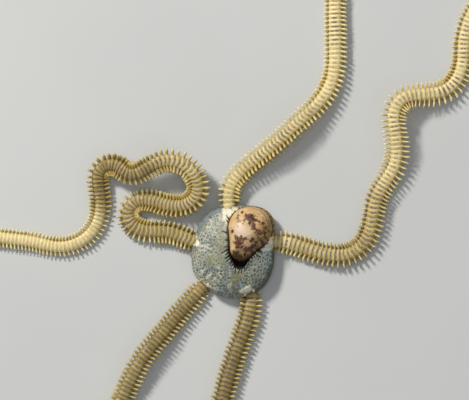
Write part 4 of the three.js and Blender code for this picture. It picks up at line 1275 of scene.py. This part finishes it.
def disc_skin(parts):
    ca, sa = np.cos(np.radians(theta)), np.sin(np.radians(theta))
    rings, masks, flat = [], [], []   # points, values, and a list for places on the top chart, left as None

    def push(x, y, z, values, r):
        rings.append(np.stack([x, y, z], -1))
        masks.append(values)
        flat.append(r)

    lip_z = back_height(reach(*lip.T))
    # the middle of the slit's floor, fully in painted shade
    dark = {"da": np.array([0, 0, 1.0, 0]), "db": np.zeros(4), "dc": np.array([0, 0, 0, 0.6]), "dd": np.zeros(4)}
    # floor and wall of the slit, from its middle outwards
    arc = 0.0
    walls = [(0.12, 0.0, 0.0), (0.35, 0.0, 0.0), (0.6, 0.0, 0.0), (0.78, 0.02, 0.0)]
    walls += [(0.875, 0.10, 0.5), (0.905, 0.3, 1.0), (0.925, 0.52, 1.0), (0.945, 0.72, 0.9), (0.962, 0.87, 0.7), (0.982, 0.955, 0.45)]
    lines = fbm(np.stack([ELL, ELL * 0], -1), 0.3, 50)
    pl_lip = np.zeros(ROUND)
    for at, length, depth, width, darkness in pleats:
        g = (ELL - at + ELL_ALL / 2) % ELL_ALL - ELL_ALL / 2
        pl_lip = np.maximum(pl_lip, np.exp(-((g / width) ** 2)) * depth)
    wide_open, deep_here = gape(theta), dig(theta)
    swollen = 1 - smooth(gap(theta, 40), 42, 62)
    for k, (part, up, ruck) in enumerate(walls):
        # where the slit is shut the wall stands close to the bulge, and is tan rather than black; where it is open the
        # wall is darkened with painted shade, more so further down
        r = inner * (part + (1 - part) * 0.55 * (1 - wide_open) * (up > 0)) + ruck * (pl_lip * 0.9 - 0.03)
        floor = SLIT_FLOOR + (lip_z - 0.62 - SLIT_FLOOR) * (1 - deep_here)
        z = floor + (lip_z - 0.03 - floor) * up
        pit_shade = np.clip(wide_open + 0.7 * (1 - up) * smooth(wide_open, 0.05, 0.35), 0, 1)
        zero = np.zeros(ROUND)
        values = {"da": np.stack([zero, np.maximum(swollen, 0.6 * (1 - smooth(wide_open, 0.05, 0.5))), pit_shade, zero], -1), "db": np.zeros(4), "dc": np.array([0, 0, 0, 0.6]), "dd": np.zeros(4)}
        push(SLIT_CENTRE[0] + r * ca, SLIT_CENTRE[1] + r * sa, z + 0 * r, values, None)
    steps = 98
    q = np.linspace(0, 1, steps)
    t = 0.5 - 0.5 * np.cos(np.pi * q)
    t = 0.72 * t + 0.28 * (1 - (1 - q) ** 2)
    for k, tk in enumerate(t):
        span = outer - inner
        r = inner + span * tk
        x, y = SLIT_CENTRE[0] + r * ca, SLIT_CENTRE[1] + r * sa
        d = span * tk
        rho = reach(x, y)
        dz, values = back_finish(x, y, d, ELL)
        roll = -0.10 * np.exp(-d / 0.07)
        z = back_height(np.minimum(rho, 0.9995)) - 0.03 + roll + dz * (1 - smooth(rho, 0.93, 1.0) * 0.8)
        if tk == 1.0:
            z = np.full_like(z, DISC_BELT + 0.03)
        push(x, y, z, values, None)
    last = masks[-1]
    # the side rolls under to a flat underside, then in to the mouth
    for k, (cut, z) in enumerate(((0.015, 1.33), (0.05, 1.17), (0.11, 1.0), (0.20, 0.84), (0.32, 0.72), (0.48, 0.64))):
        x, y = SLIT_CENTRE[0] + (outer - cut) * ca, SLIT_CENTRE[1] + (outer - cut) * sa
        fade = (k + 1) / 6
        v = {"da": last["da"] * (1 - fade), "db": last["db"] * (1 - fade) + np.array([0, 0, 0, 1.0]) * fade, "dc": last["dc"] * (1 - fade), "dd": last["dd"] * (1 - fade)}
        push(x, y, np.full_like(x, z) + 0.02 * fbm(np.stack([x, y], -1), 0.5, 3), v, None)
    top_rings = len(rings)
    rim = rings[-1]
    under = {"da": np.zeros(4), "db": np.array([0, 0, 0, 1.0]), "dc": np.array([0, 0, 0, 0.2]), "dd": np.zeros(4)}
    for part in np.linspace(0.96, 0.08, 26):
        x, y = rim[:, 0] * part, DISC_Y + (rim[:, 1] - DISC_Y) * part
        P = np.stack([x, y], -1)
        z = 0.60 + 0.02 * fbm(P, 0.5, 3) + 0.012 * noise(P, 0.2, 6)
        az, rr = azimuth(x, y), np.hypot(x, y - DISC_Y)
        # the slits beside the arms: a low ridge with painted shade along it
        slits = np.zeros_like(x)
        for a in AZIMUTH.values():
            side = rr * np.sin(np.radians(gap(az, a)))
            near = np.cos(np.radians(gap(az, a))) > 0.3
            slits = np.maximum(slits, np.exp(-(((side - 1.12) / 0.10) ** 2)) * near * smooth(rr, 2.0, 2.6) * (1 - smooth(rr, 4.6, 5.3)))
        z = z + 0.12 * slits - 0.16 * (1 - smooth(rr, 0.9, 2.4))
        v = {"da": np.stack([0 * x, 0 * x, slits * 0.85, 0 * x], -1), "db": under["db"], "dc": under["dc"], "dd": under["dd"]}
        push(x, y, z, v, None)
    n = len(rings)
    pts = np.concatenate([np.stack(rings).reshape(-1, 3), [[SLIT_CENTRE[0], SLIT_CENTRE[1], SLIT_FLOOR], [0, DISC_Y, 0.5]]])
    vals = {}
    for key in ("da", "db", "dc", "dd"):
        rows = [np.broadcast_to(m[key], (ROUND, 4)) for m in masks]
        vals[key] = np.concatenate([np.concatenate(rows), np.broadcast_to(dark[key], (1, 4)), np.broadcast_to(under[key], (1, 4))])
    faces, rc = strip_faces(n, ROUND, True)
    i = np.arange(ROUND)
    j = (i + 1) % ROUND
    tri = np.concatenate([np.stack([np.full_like(i, n * ROUND), i, j], 1), np.stack([np.full_like(i, n * ROUND + 1), (n - 1) * ROUND + j, (n - 1) * ROUND + i], 1)])
    q2, t2, flipped = outward(pts, faces, tri)
    # bake map: the top laid flat round the slit, by length along the surface; the underside round the mouth
    R = np.stack(rings)
    stepl = np.linalg.norm(np.diff(R, axis=0), axis=2)
    first = np.linalg.norm(R[0] - pts[n * ROUND], axis=1)
    run = np.concatenate([first[None], first[None] + np.cumsum(stepl, 0)])
    most = run[top_rings - 1].max()
    th = np.radians(theta)
    topuv = np.stack([0.315 + 0.305 * run / most * np.cos(th), 0.675 + 0.305 * run / most * np.sin(th)], -1)
    rb = np.linalg.norm(R[:, :, :2] - np.array([0, DISC_Y]), axis=2)
    far = rb[top_rings - 1].max()
    botuv = np.stack([0.81 + 0.17 * (R[..., 0]) / far, 0.81 + 0.17 * (R[..., 1] - DISC_Y) / far], -1)
    rcs = rc[:, ::-1] if flipped else rc
    is_top = (rc[:, :, 0].max(1) < top_rings)[:, None, None]
    uv4 = np.where(is_top, topuv[rcs[..., 0], rcs[..., 1] % ROUND], botuv[rcs[..., 0], rcs[..., 1] % ROUND])
    t_top = np.stack([np.broadcast_to([0.315, 0.675], (ROUND, 2)), topuv[0][i], topuv[0][j]], 1)
    t_bot = np.stack([np.broadcast_to([0.81, 0.81], (ROUND, 2)), botuv[-1][j], botuv[-1][i]], 1)
    uv3 = np.concatenate([t_top, t_bot])
    if flipped:
        uv3 = uv3[:, ::-1]
    parts.add(pts, q2, t2, 0, uv4, uv3, **vals)


disc_skin(skin)
arm_nodes = [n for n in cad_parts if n.startswith("arm_")]
skin_ob = skin.piece("skin", [M_DISC, M_ARM], ["disc", "mouth_side", *arm_nodes])


# ------------------------------------------------------------------ the bulge
def star(x, y, u, v, ru, rv, turn, seed, spiky=0.5):
    cx, cy = px(u, v)
    c, s = math.cos(math.radians(turn)), math.sin(math.radians(turn))
    dx, dy = (x - cx) / 0.14, (y - cy) / 0.14
    a, b = (dx * c + dy * s) / ru, (-dx * s + dy * c) / rv
    ang = np.arctan2(b, a)
    edge = 0.82 + spiky * 0.30 * noise(np.stack([np.cos(ang) * 1.6, np.sin(ang) * 1.6], -1) + seed, 0.62, seed) + spiky * 0.26 * noise(np.stack([np.cos(ang) * 5.5, np.sin(ang) * 5.5], -1), 0.6, seed + 3)
    r = np.hypot(a, b) + 0.16 * fbm(np.stack([x, y], -1), 0.22, seed + 7)
    inside = 1 - 0.25 * smooth(fbm(np.stack([x, y], -1), 0.26, seed + 11), 0.1, 0.45)
    return (1 - smooth(r / edge, 0.78, 1.12)) * inside


def ring(x, y, u, v, r, w, at, half, seed):
    """Part of a feathery ring: radius and width in the picture's pixels, where it lies and how far it reaches in degrees."""
    cx, cy = px(u, v)
    dx, dy = (x - cx) / 0.14, (y - cy) / 0.14
    ang = np.arctan2(dy, dx)
    far = np.hypot(dx, dy) + 0.5 * fbm(np.stack([x, y], -1), 0.25, seed)
    n1 = noise(np.stack([np.cos(ang) * 5.0, np.sin(ang) * 5.0], -1), 0.6, seed + 3)
    n2 = noise(np.stack([np.cos(ang) * 1.8, np.sin(ang) * 1.8], -1), 0.6, seed + 5)
    wide = w * (0.9 + 0.8 * n1 + 0.5 * n2)
    k = smooth(far, r - 0.9, r - 0.1) * (1 - smooth(far, r + 0.6 * wide, r + 1.1 * wide + 0.3))
    return k * (1 - smooth(gap(np.degrees(ang), at) + 16 * n2, half - 10, half + 12))


def bulge_piece():
    parts = Parts()
    n, m = ((300, 110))
    th = np.arange(n) * 360.0 / n
    ca, sa = np.cos(np.radians(th)), np.sin(np.radians(th))
    R = radius_where(lambda x, y: egg(x, y, BULGE_BIG, BULGE_SMALL), BULGE_CENTRE, th) - 0.02
    R = R + 0.13 * (1 - smooth(gap(th, 62), 88, 128))
    rings = []
    for k in np.linspace(0, 1, 16)[:-1]:
        part = 0.74 + 0.26 * math.sin(k * math.pi / 2) ** 0.9
        rings.append(np.stack([BULGE_CENTRE[0] + R * part * ca, BULGE_CENTRE[1] + R * part * sa, np.full(n, BULGE_FLOOR + (BULGE_BELT - BULGE_FLOOR) * k)], -1))
    for a in np.linspace(0, 1, m)[:-1]:
        part = math.cos(a * math.pi / 2)
        z = BULGE_BELT + (BULGE_TOP - 0.06 - BULGE_BELT) * math.sin(a * math.pi / 2)
        rings.append(np.stack([BULGE_CENTRE[0] + R * part * ca, BULGE_CENTRE[1] + R * part * sa, np.full(n, z)], -1))
    P = np.stack(rings).reshape(-1, 3)
    P = np.concatenate([P, [[*BULGE_CENTRE, BULGE_FLOOR], [*BULGE_CENTRE, BULGE_TOP - 0.06]]])
    x, y, z = P.T
    XY = P[:, :2]
    e = egg(x, y, BULGE_BIG, BULGE_SMALL)
    beta = np.degrees(np.arctan2(y - BULGE_BIG[1], x - BULGE_BIG[0]))
    nrm = np.stack([(x - BULGE_CENTRE[0]) / 9.0, (y - BULGE_CENTRE[1]) / 9.0, (z - 2.0) / 6.0], 1)
    nrm /= np.linalg.norm(nrm, axis=1, keepdims=True) + 1e-9
    # masks
    stars = np.maximum.reduce([
        star(x, y, 250.8, 219.2, 7.0, 5.4, -20, 3, 1.0), star(x, y, 246.2, 216.0, 2.0, 2.8, 0, 14, 1.0), 0.9 * star(x, y, 253.8, 225.2, 2.3, 4.4, -10, 17, 1.0),
        0.95 * star(x, y, 257.0, 220.4, 3.6, 1.3, -28, 19, 0.7), 0.95 * ring(x, y, 241.5, 216.8, 3.4, 2.8, 195, 50, 31), 0.9 * ring(x, y, 241.5, 216.8, 3.5, 2.3, 280, 64, 33),
        star(x, y, 239.8, 240.4, 8.8, 5.6, 0, 9, 1.1), star(x, y, 239.2, 245.0, 4.6, 5.0, 10, 12, 1.1), 0.9 * star(x, y, 235.2, 237.4, 1.2, 2.6, 10, 71, 0.7),
        0.9 * star(x, y, 241.4, 236.8, 1.1, 2.4, -8, 73, 0.7), 0.85 * star(x, y, 245.0, 238.6, 2.8, 1.2, 25, 75, 0.7), 0.7 * star(x, y, 233.9, 242.4, 1.8, 1.6, 0, 77, 0.8),
        0.95 * ring(x, y, 248.0, 243.2, 3.9, 4.2, 285, 70, 27), 0.9 * ring(x, y, 248.0, 243.2, 3.9, 2.2, 190, 50, 29), star(x, y, 249.6, 249.2, 5.4, 3.2, -8, 37, 1.2),
        0.95 * ring(x, y, 259.4, 225.8, 3.9, 3.2, 225, 72, 21), 0.9 * star(x, y, 258.6, 232.4, 5.4, 3.0, 10, 23, 1.2), 0.6 * star(x, y, 244.0, 250.4, 3.0, 2.4, 0, 85, 1.2), 0.62 * star(x, y, 239.5, 250.2, 5.0, 3.0, 10, 87, 1.3), 0.5 * star(x, y, 236.0, 246.0, 2.2, 4.6, 0, 89, 1.2), 0.5 * star(x, y, 265.0, 228.0, 2.0, 4.0, 0, 43, 1.0)])
    spot = np.maximum.reduce([blob(x, y, 259.6, 225.9, 3.6, 3.5, 0, 0.22, 0.1), blob(x, y, 247.4, 243.4, 3.6, 3.5, 0, 0.22, 0.1), 0.8 * blob(x, y, 241.8, 217.4, 3.2, 3.2, 0, 0.3, 0.12)])
    stars = stars * (1 - 0.92 * spot)
    dots = np.maximum.reduce([blob(x, y, u, v, r, r * 1.15, 0, 0.34, 0.3) for u, v, r in (
        (242.2, 212.0, 1.6), (263.0, 223.5, 1.5), (232.2, 231.4, 1.5), (252.3, 239.2, 1.7), (250.5, 241.0, 1.2), (256.2, 242.2, 1.3), (262.8, 243.0, 2.1),
        (244.8, 254.8, 1.6), (259.6, 221.4, 0.9), (257.3, 216.3, 0.6), (255.2, 215.5, 0.7), (252.6, 214.9, 0.7), (250.5, 213.9, 0.7), (248.3, 214.3, 0.7), (245.6, 214.2, 0.8), (243.0, 223.6, 0.7),
        (266.2, 227.8, 0.9), (264.6, 233.6, 1.0), (235.0, 235.4, 0.9), (241.2, 236.1, 0.9), (236.3, 247.4, 1.0), (242.4, 246.4, 0.8), (248.0, 255.5, 1.0),
        (258.6, 236.8, 0.7), (238.0, 226.0, 0.5), (246.0, 246.5, 0.6), (255.2, 245.0, 0.8), (252.6, 247.6, 0.8))])
    for a0, b0, w0 in (((264.4, 236.2), (268.8, 240.6), 0.11), ((260.4, 239.4), (262.6, 244.6), 0.12), ((268.6, 229.5), (270.6, 233.6), 0.1), ((229.6, 246.6), (229.8, 250.0), 0.07),
                       ((255.2, 243.0), (258.4, 240.6), 0.08), ((263.4, 231.2), (266.0, 233.0), 0.09)):
        line, t = segment_distance(x, y, a0, b0)
        dots = np.maximum(dots, 0.9 * smooth(line + 0.07 * fbm(XY, 0.3, 91), w0 * 1.5, w0 * 0.4))
    black = np.maximum.reduce([0.95 * blob(x, y, 236.6, 255.8, 5.0, 4.6, 0, 0.4, 0.7), star(x, y, 235.4, 256.8, 6.0, 6.0, 20, 51, 1.1), 0.9 * star(x, y, 235.0, 253.2, 1.3, 3.0, 8, 81, 0.7), 0.85 * star(x, y, 238.6, 254.4, 1.2, 2.6, -14, 83, 0.7),
                               0.85 * star(x, y, 258.8, 249.6, 3.8, 2.0, -12, 55, 1.1), 0.75 * star(x, y, 254.0, 254.4, 3.6, 2.0, -34, 57, 1.1), 0.6 * star(x, y, 247.5, 258.0, 3.2, 1.5, -15, 59, 1.1)])
    # browner towards the lower right, the side turned from the light: partly its own mottling, partly painted shade
    flank = smooth((x - BULGE_BIG[0]) * 0.62 - (y - BULGE_BIG[1]) * 0.38 + 0.6 * fbm(XY, 0.8, 61), 0.45, 1.7)
    spokes = 0.6 * fbm(np.stack([beta / 10.0, e * 0.7], -1), 0.8, 66) + 0.9 * fbm(XY, 0.42, 68)
    dark_spokes = smooth(spokes, 0.06, 0.36) * (1 - smooth(gap(beta, -30), 44, 66)) * smooth(e, -2.3, -1.2)
    # two creases round the far flank, with painted shade in them
    rim = e + 0.07 * fbm(XY, 0.8, 64)
    crease = np.exp(-(((rim + 0.62) / 0.085) ** 2)) * (1 - smooth(gap(beta, 28), 20, 40))
    crease = np.maximum(crease, 0.9 * np.exp(-(((rim + 0.20) / 0.07) ** 2)) * (1 - smooth(gap(beta, 40), 26, 50)))
    fold_shade = 0.9 * crease * smooth(fbm(XY, 0.7, 70), -0.5, -0.05)
    th = np.degrees(np.arctan2(y - SLIT_CENTRE[1], x - SLIT_CENTRE[0])) % 360
    open_here = gape(th)
    # painted shade: dark at the foot where the slit is open, over the lower end, and on the part below the belt
    low = smooth(e + 0.12 * fbm(XY, 0.35, 67), -0.10 - 0.26 * open_here, -0.02) * (0.10 + 0.90 * open_here)
    low = np.maximum(low, smooth(-y + 0.5 * fbm(XY, 0.45, 68) - 0.28 * (x - 1.2), 0.45, 1.2))
    low = np.maximum(low, (z < BULGE_BELT - 0.1) * 1.0)
    # painted highlight: a soft pale patch on the left of the dome
    pale = np.maximum(blob(x, y, 240.5, 230.5, 6.5, 5.0, 0, 0.8, 0.1), 0.55 * blob(x, y, 245.5, 233.5, 8.5, 6.5, -20, 0.8, 0.2))
    push = 0.03 * fbm(XY, 1.1, 62) + (-0.05) * crease - 0.02 * dark_spokes + 0.02 * spot + 0.008 * noise(XY, 0.2, 8)
    # small puckers round the foot of the bulge
    pucker = np.sin(np.radians(beta) * 46 + 3 * fbm(XY, 0.8, 63)) * smooth(e, -0.45, -0.1)
    push = push + 0.018 * pucker - 0.02
    P = P + nrm * push[:, None]
    P[:, 2] = np.minimum(P[:, 2], BULGE_TOP - 0.01)
    ba = np.stack([stars, spot, dots, np.clip(flank, 0, 1)], -1)
    bb = np.stack([np.clip(np.maximum(fold_shade, 0.7 * dark_spokes), 0, 1), black, pale, np.clip(low, 0, 1)], -1)
    rows = len(rings)
    q, rc = strip_faces(rows, n, True)
    i = np.arange(n)
    j = (i + 1) % n
    tri = np.concatenate([np.stack([np.full_like(i, rows * n), j, i], 1), np.stack([np.full_like(i, rows * n + 1), (rows - 1) * n + i, (rows - 1) * n + j], 1)])
    q, tri, flipped = outward(P, q, tri)
    # bake map: laid flat from its top, by length along the surface
    G = np.stack(rings)
    run = np.cumsum(np.linalg.norm(np.diff(G[::-1], axis=0), axis=2), 0)
    run = np.concatenate([np.zeros((1, n)), run]) + np.linalg.norm(G[-1] - P[-1], axis=1)
    run = run[::-1]
    k = 0.485 / run.max()
    uv = np.stack([0.5 + k * run * ca, 0.5 + k * run * sa], -1)
    rcs = rc[:, ::-1] if flipped else rc
    uv4 = uv[rcs[..., 0], rcs[..., 1] % n]
    foot = np.stack([np.broadcast_to([0.02, 0.02], (n, 2)), np.broadcast_to([0.03, 0.02], (n, 2)), np.broadcast_to([0.02, 0.03], (n, 2))], 1)
    head = np.stack([np.broadcast_to([0.5, 0.5], (n, 2)), uv[-1][i], uv[-1][j]], 1)
    uv3 = np.concatenate([foot, head])
    if flipped:
        uv3 = uv3[:, ::-1]
    parts.add(P, q, tri, 0, uv4, uv3, ba=ba, bb=bb)
    return parts.piece("bulge", [M_BULGE], ["disc_bulge"])


bulge_ob = bulge_piece()

# ------------------------------------------------------------------ plates and spines of the arms
for arm in arms:
    arm_plates(arm)
    arm_spines(arm)


# ------------------------------------------------------------------ small rounded shapes
def lump(parts, centre, axes, radii, power=2.0, rows=9, cols=14, slot=0, uv_at=(0.5, 0.5), uv_size=0.05, taper=0.0, **attrs):
    """A rounded solid on three axes; taper narrows it along the first one."""
    a = np.linspace(0, np.pi, rows + 2)[1:-1]
    b = np.arange(cols) * 2 * np.pi / cols
    A, B = np.meshgrid(a, b, indexing="ij")
    pw = lambda t: np.sign(t) * np.abs(t) ** (2 / power)
    X, Y, Z = pw(np.cos(A)), pw(np.sin(A)) * pw(np.cos(B)), pw(np.sin(A)) * pw(np.sin(B))
    k = 1 - taper * (X + 1) / 2
    P = np.stack([X, Y * k, Z * (1 - 0.5 * taper * (X + 1) / 2)], -1).reshape(-1, 3)
    P = np.concatenate([P, [[1, 0, 0], [-1, 0, 0]]]) * np.asarray(radii)
    V = np.asarray(centre) + P @ np.asarray(axes)
    q, rc = strip_faces(rows, cols, True)
    i = np.arange(cols)
    j = (i + 1) % cols
    tri = np.concatenate([np.stack([np.full_like(i, rows * cols), i, j], 1), np.stack([np.full_like(i, rows * cols + 1), (rows - 1) * cols + j, (rows - 1) * cols + i], 1)])
    q, tri, flipped = outward(V, q, tri)
    rcs = rc[:, ::-1] if flipped else rc
    uv4 = np.stack([rcs[..., 1] / cols, (rcs[..., 0] + 1) / (rows + 1)], -1)
    t1 = np.stack([np.stack([(i + 0.5) / cols, i / cols, (i + 1) / cols], 1), np.stack([0 * i, 0 * i + 1, 0 * i + 1], 1) / (rows + 1)], -1)
    t2 = np.stack([np.stack([(i + 0.5) / cols, (i + 1) / cols, i / cols], 1), np.stack([0 * i + rows + 1, 0 * i + rows, 0 * i + rows], 1) / (rows + 1)], -1)
    uv3 = np.concatenate([t1, t2])
    if flipped:
        uv3 = uv3[:, ::-1]
    at = np.asarray(uv_at)
    parts.add(V, q, tri, slot, at + uv4 * uv_size, at + uv3 * uv_size, **attrs)


def basis(forward, up):
    f = np.asarray(forward, float) / np.linalg.norm(forward)
    s = np.cross(up, f)
    s /= np.linalg.norm(s)
    return np.stack([f, s, np.cross(f, s)])


def shields_piece():
    """The paired shields whose outer ends stand out of the skin at each arm."""
    parts = Parts()
    k = 0
    for name, at in AZIMUTH.items():
        big = {"up": 1.25, "right": 1.05, "bottom": 1.0, "left": 0.85, "lower_left": 0.85}[name]
        for side in (-1, 1):
            deg = at + side * 6.2 * (1 + 0.12 * (name == "up"))
            a = math.radians(deg)
            R = float(disc_radius(np.array([deg]))[0])
            r = R - 0.42 * big
            out = np.array([math.cos(a), math.sin(a), 0])
            z = float(back_height(np.array([r / R]))[0])
            slope = np.array([out[0], out[1], -0.95])
            ax = basis(slope, [0, 0, 1])
            c = np.array([r * out[0], DISC_Y + r * out[1], z - 0.115])
            lump(parts, c, ax, (0.50 * big, 0.30 * big, 0.14), 2.3, 14, 22, 0, (0.02 + 0.19 * (k % 5), 0.03 + 0.45 * (k // 5)), 0.16, taper=0.25)
            k += 1
    return parts.piece("shields", [M_SHIELD])


def mouth_piece():
    """Five jaws with their papillae, the shields between the arms, and the plates beside them."""
    parts = Parts()
    turns = sorted(AZIMUTH.values())
    n = 0

    def slot_at():
        nonlocal n
        n += 1
        return (0.01 + 0.0825 * ((n - 1) % 12), 0.01 + 0.0825 * ((n - 1) // 12))

    for i, a0 in enumerate(turns):
        a1 = turns[(i + 1) % 5] + (360 if i == 4 else 0)
        mid = math.radians((a0 + a1) / 2)
        out = np.array([math.cos(mid), math.sin(mid), 0.0])
        side = np.array([-out[1], out[0], 0.0])
        C = np.array([0, DISC_Y, 0.0])
        # shield between the arms, then the two plates beside it, the jaw halves and the papillae
        lump(parts, C + out * 2.25 + [0, 0, 0.30], basis(out, [0, 0, 1]), (0.62, 0.48, 0.22), 2.6, 10, 18, 0, slot_at(), 0.07, taper=0.15)
        for s in (-1, 1):
            d = out * 0.75 + side * s * 0.66
            lump(parts, C + out * 1.62 + side * s * 0.36 + [0, 0, 0.29], basis(d, [0, 0, 1]), (0.50, 0.2, 0.2), 2.4, 9, 14, 0, slot_at(), 0.07)
            lump(parts, C + out * 1.08 + side * s * 0.17 + [0, 0, 0.33], basis(-out * 0.96 + side * s * -0.16, [0, 0, 1]), (0.46, 0.17, 0.24), 2.6, 9, 14, 0, slot_at(), 0.07)
            lump(parts, C + out * 0.60 + side * s * 0.075 + [0, 0, 0.24], basis(-out * 0.7 + np.array([0, 0, -0.5]), [0, 0, 1]), (0.16, 0.07, 0.07), 2.0, 7, 10, 0, slot_at(), 0.07)
            for k, r in enumerate((0.86, 1.08, 1.32)):
                lump(parts, C + out * r + side * s * (0.30 + 0.05 * k) + [0, 0, 0.20], basis(side * s * 0.5 - out * 0.35 + np.array([0, 0, -0.6]), out), (0.15, 0.075, 0.06), 2.0, 7, 10, 0, slot_at(), 0.07)
    return parts.piece("mouth", [M_MOUTH])


shields_piece()
mouth_piece()

# ------------------------------------------------------------------ floor, light, camera
def stage_material():
    g = Nodes("floor")
    base = g.mix(g.step(g.noise(40.0, 2.0), 0.3, 0.7), rgb(206, 208, 208), rgb(210, 212, 212))
    return g.finish(base, 0.85, None, Specular_IOR_Level=0.2)


me = bpy.data.meshes.new("floor")
me.from_pydata([(-1.5, -1.5, 0), (1.5, -1.5, 0), (1.5, 1.5, 0), (-1.5, 1.5, 0)], [], [(0, 1, 2, 3)])
me.materials.append(stage_material())
floor = bpy.data.objects.new("floor", me)
SCN.collection.objects.link(floor)


def area(name, place, target, size, power, colour):
    light = bpy.data.lights.new(name, "AREA")
    light.shape, light.size, light.energy, light.color = "DISK", size, power, colour
    ob = bpy.data.objects.new(name, light)
    SCN.collection.objects.link(ob)
    ob.location = Vector(place)
    ob.rotation_mode = "QUATERNION"
    ob.rotation_quaternion = (Vector(target) - Vector(place)).to_track_quat("-Z", "Y")
    return ob


area("key", (-0.31, 0.33, 0.40), (0, 0.006, 0), 0.12, 3.3, (1.0, 0.965, 0.90))
area("fill", (0.42, -0.30, 0.40), (0, 0.0, 0), 0.45, 0.3, (0.94, 0.97, 1.0))
area("top", (0.05, -0.05, 0.75), (0, 0, 0), 0.5, 0.7, (1.0, 1.0, 1.0))
world = bpy.data.worlds.new("studio")
SCN.world = world
world.use_nodes = True
world.node_tree.nodes["Background"].inputs["Color"].default_value = (0.86, 0.9, 0.95, 1)
world.node_tree.nodes["Background"].inputs["Strength"].default_value = 0.2

cam_data = bpy.data.cameras.new("camera")
cam = bpy.data.objects.new("camera", cam_data)
SCN.collection.objects.link(cam)
cam_data.lens, cam_data.sensor_width, cam_data.sensor_fit = VIEW_LENS, 36.0, "HORIZONTAL"
cam_data.clip_start, cam_data.clip_end = 0.01, 10.0
right, up, back = view_axes()
eye = (np.array([*VIEW_AIM, 0.0]) + back * VIEW_FAR) * 0.001
m = Matrix.Identity(4)
for i in range(3):
    m[i][0], m[i][1], m[i][2], m[i][3] = right[i], up[i], back[i], eye[i]
cam.matrix_world = m
SCN.camera = cam

SCN.view_settings.view_transform = "Standard"
SCN.view_settings.look = "None"
SCN.view_settings.exposure = 0.0
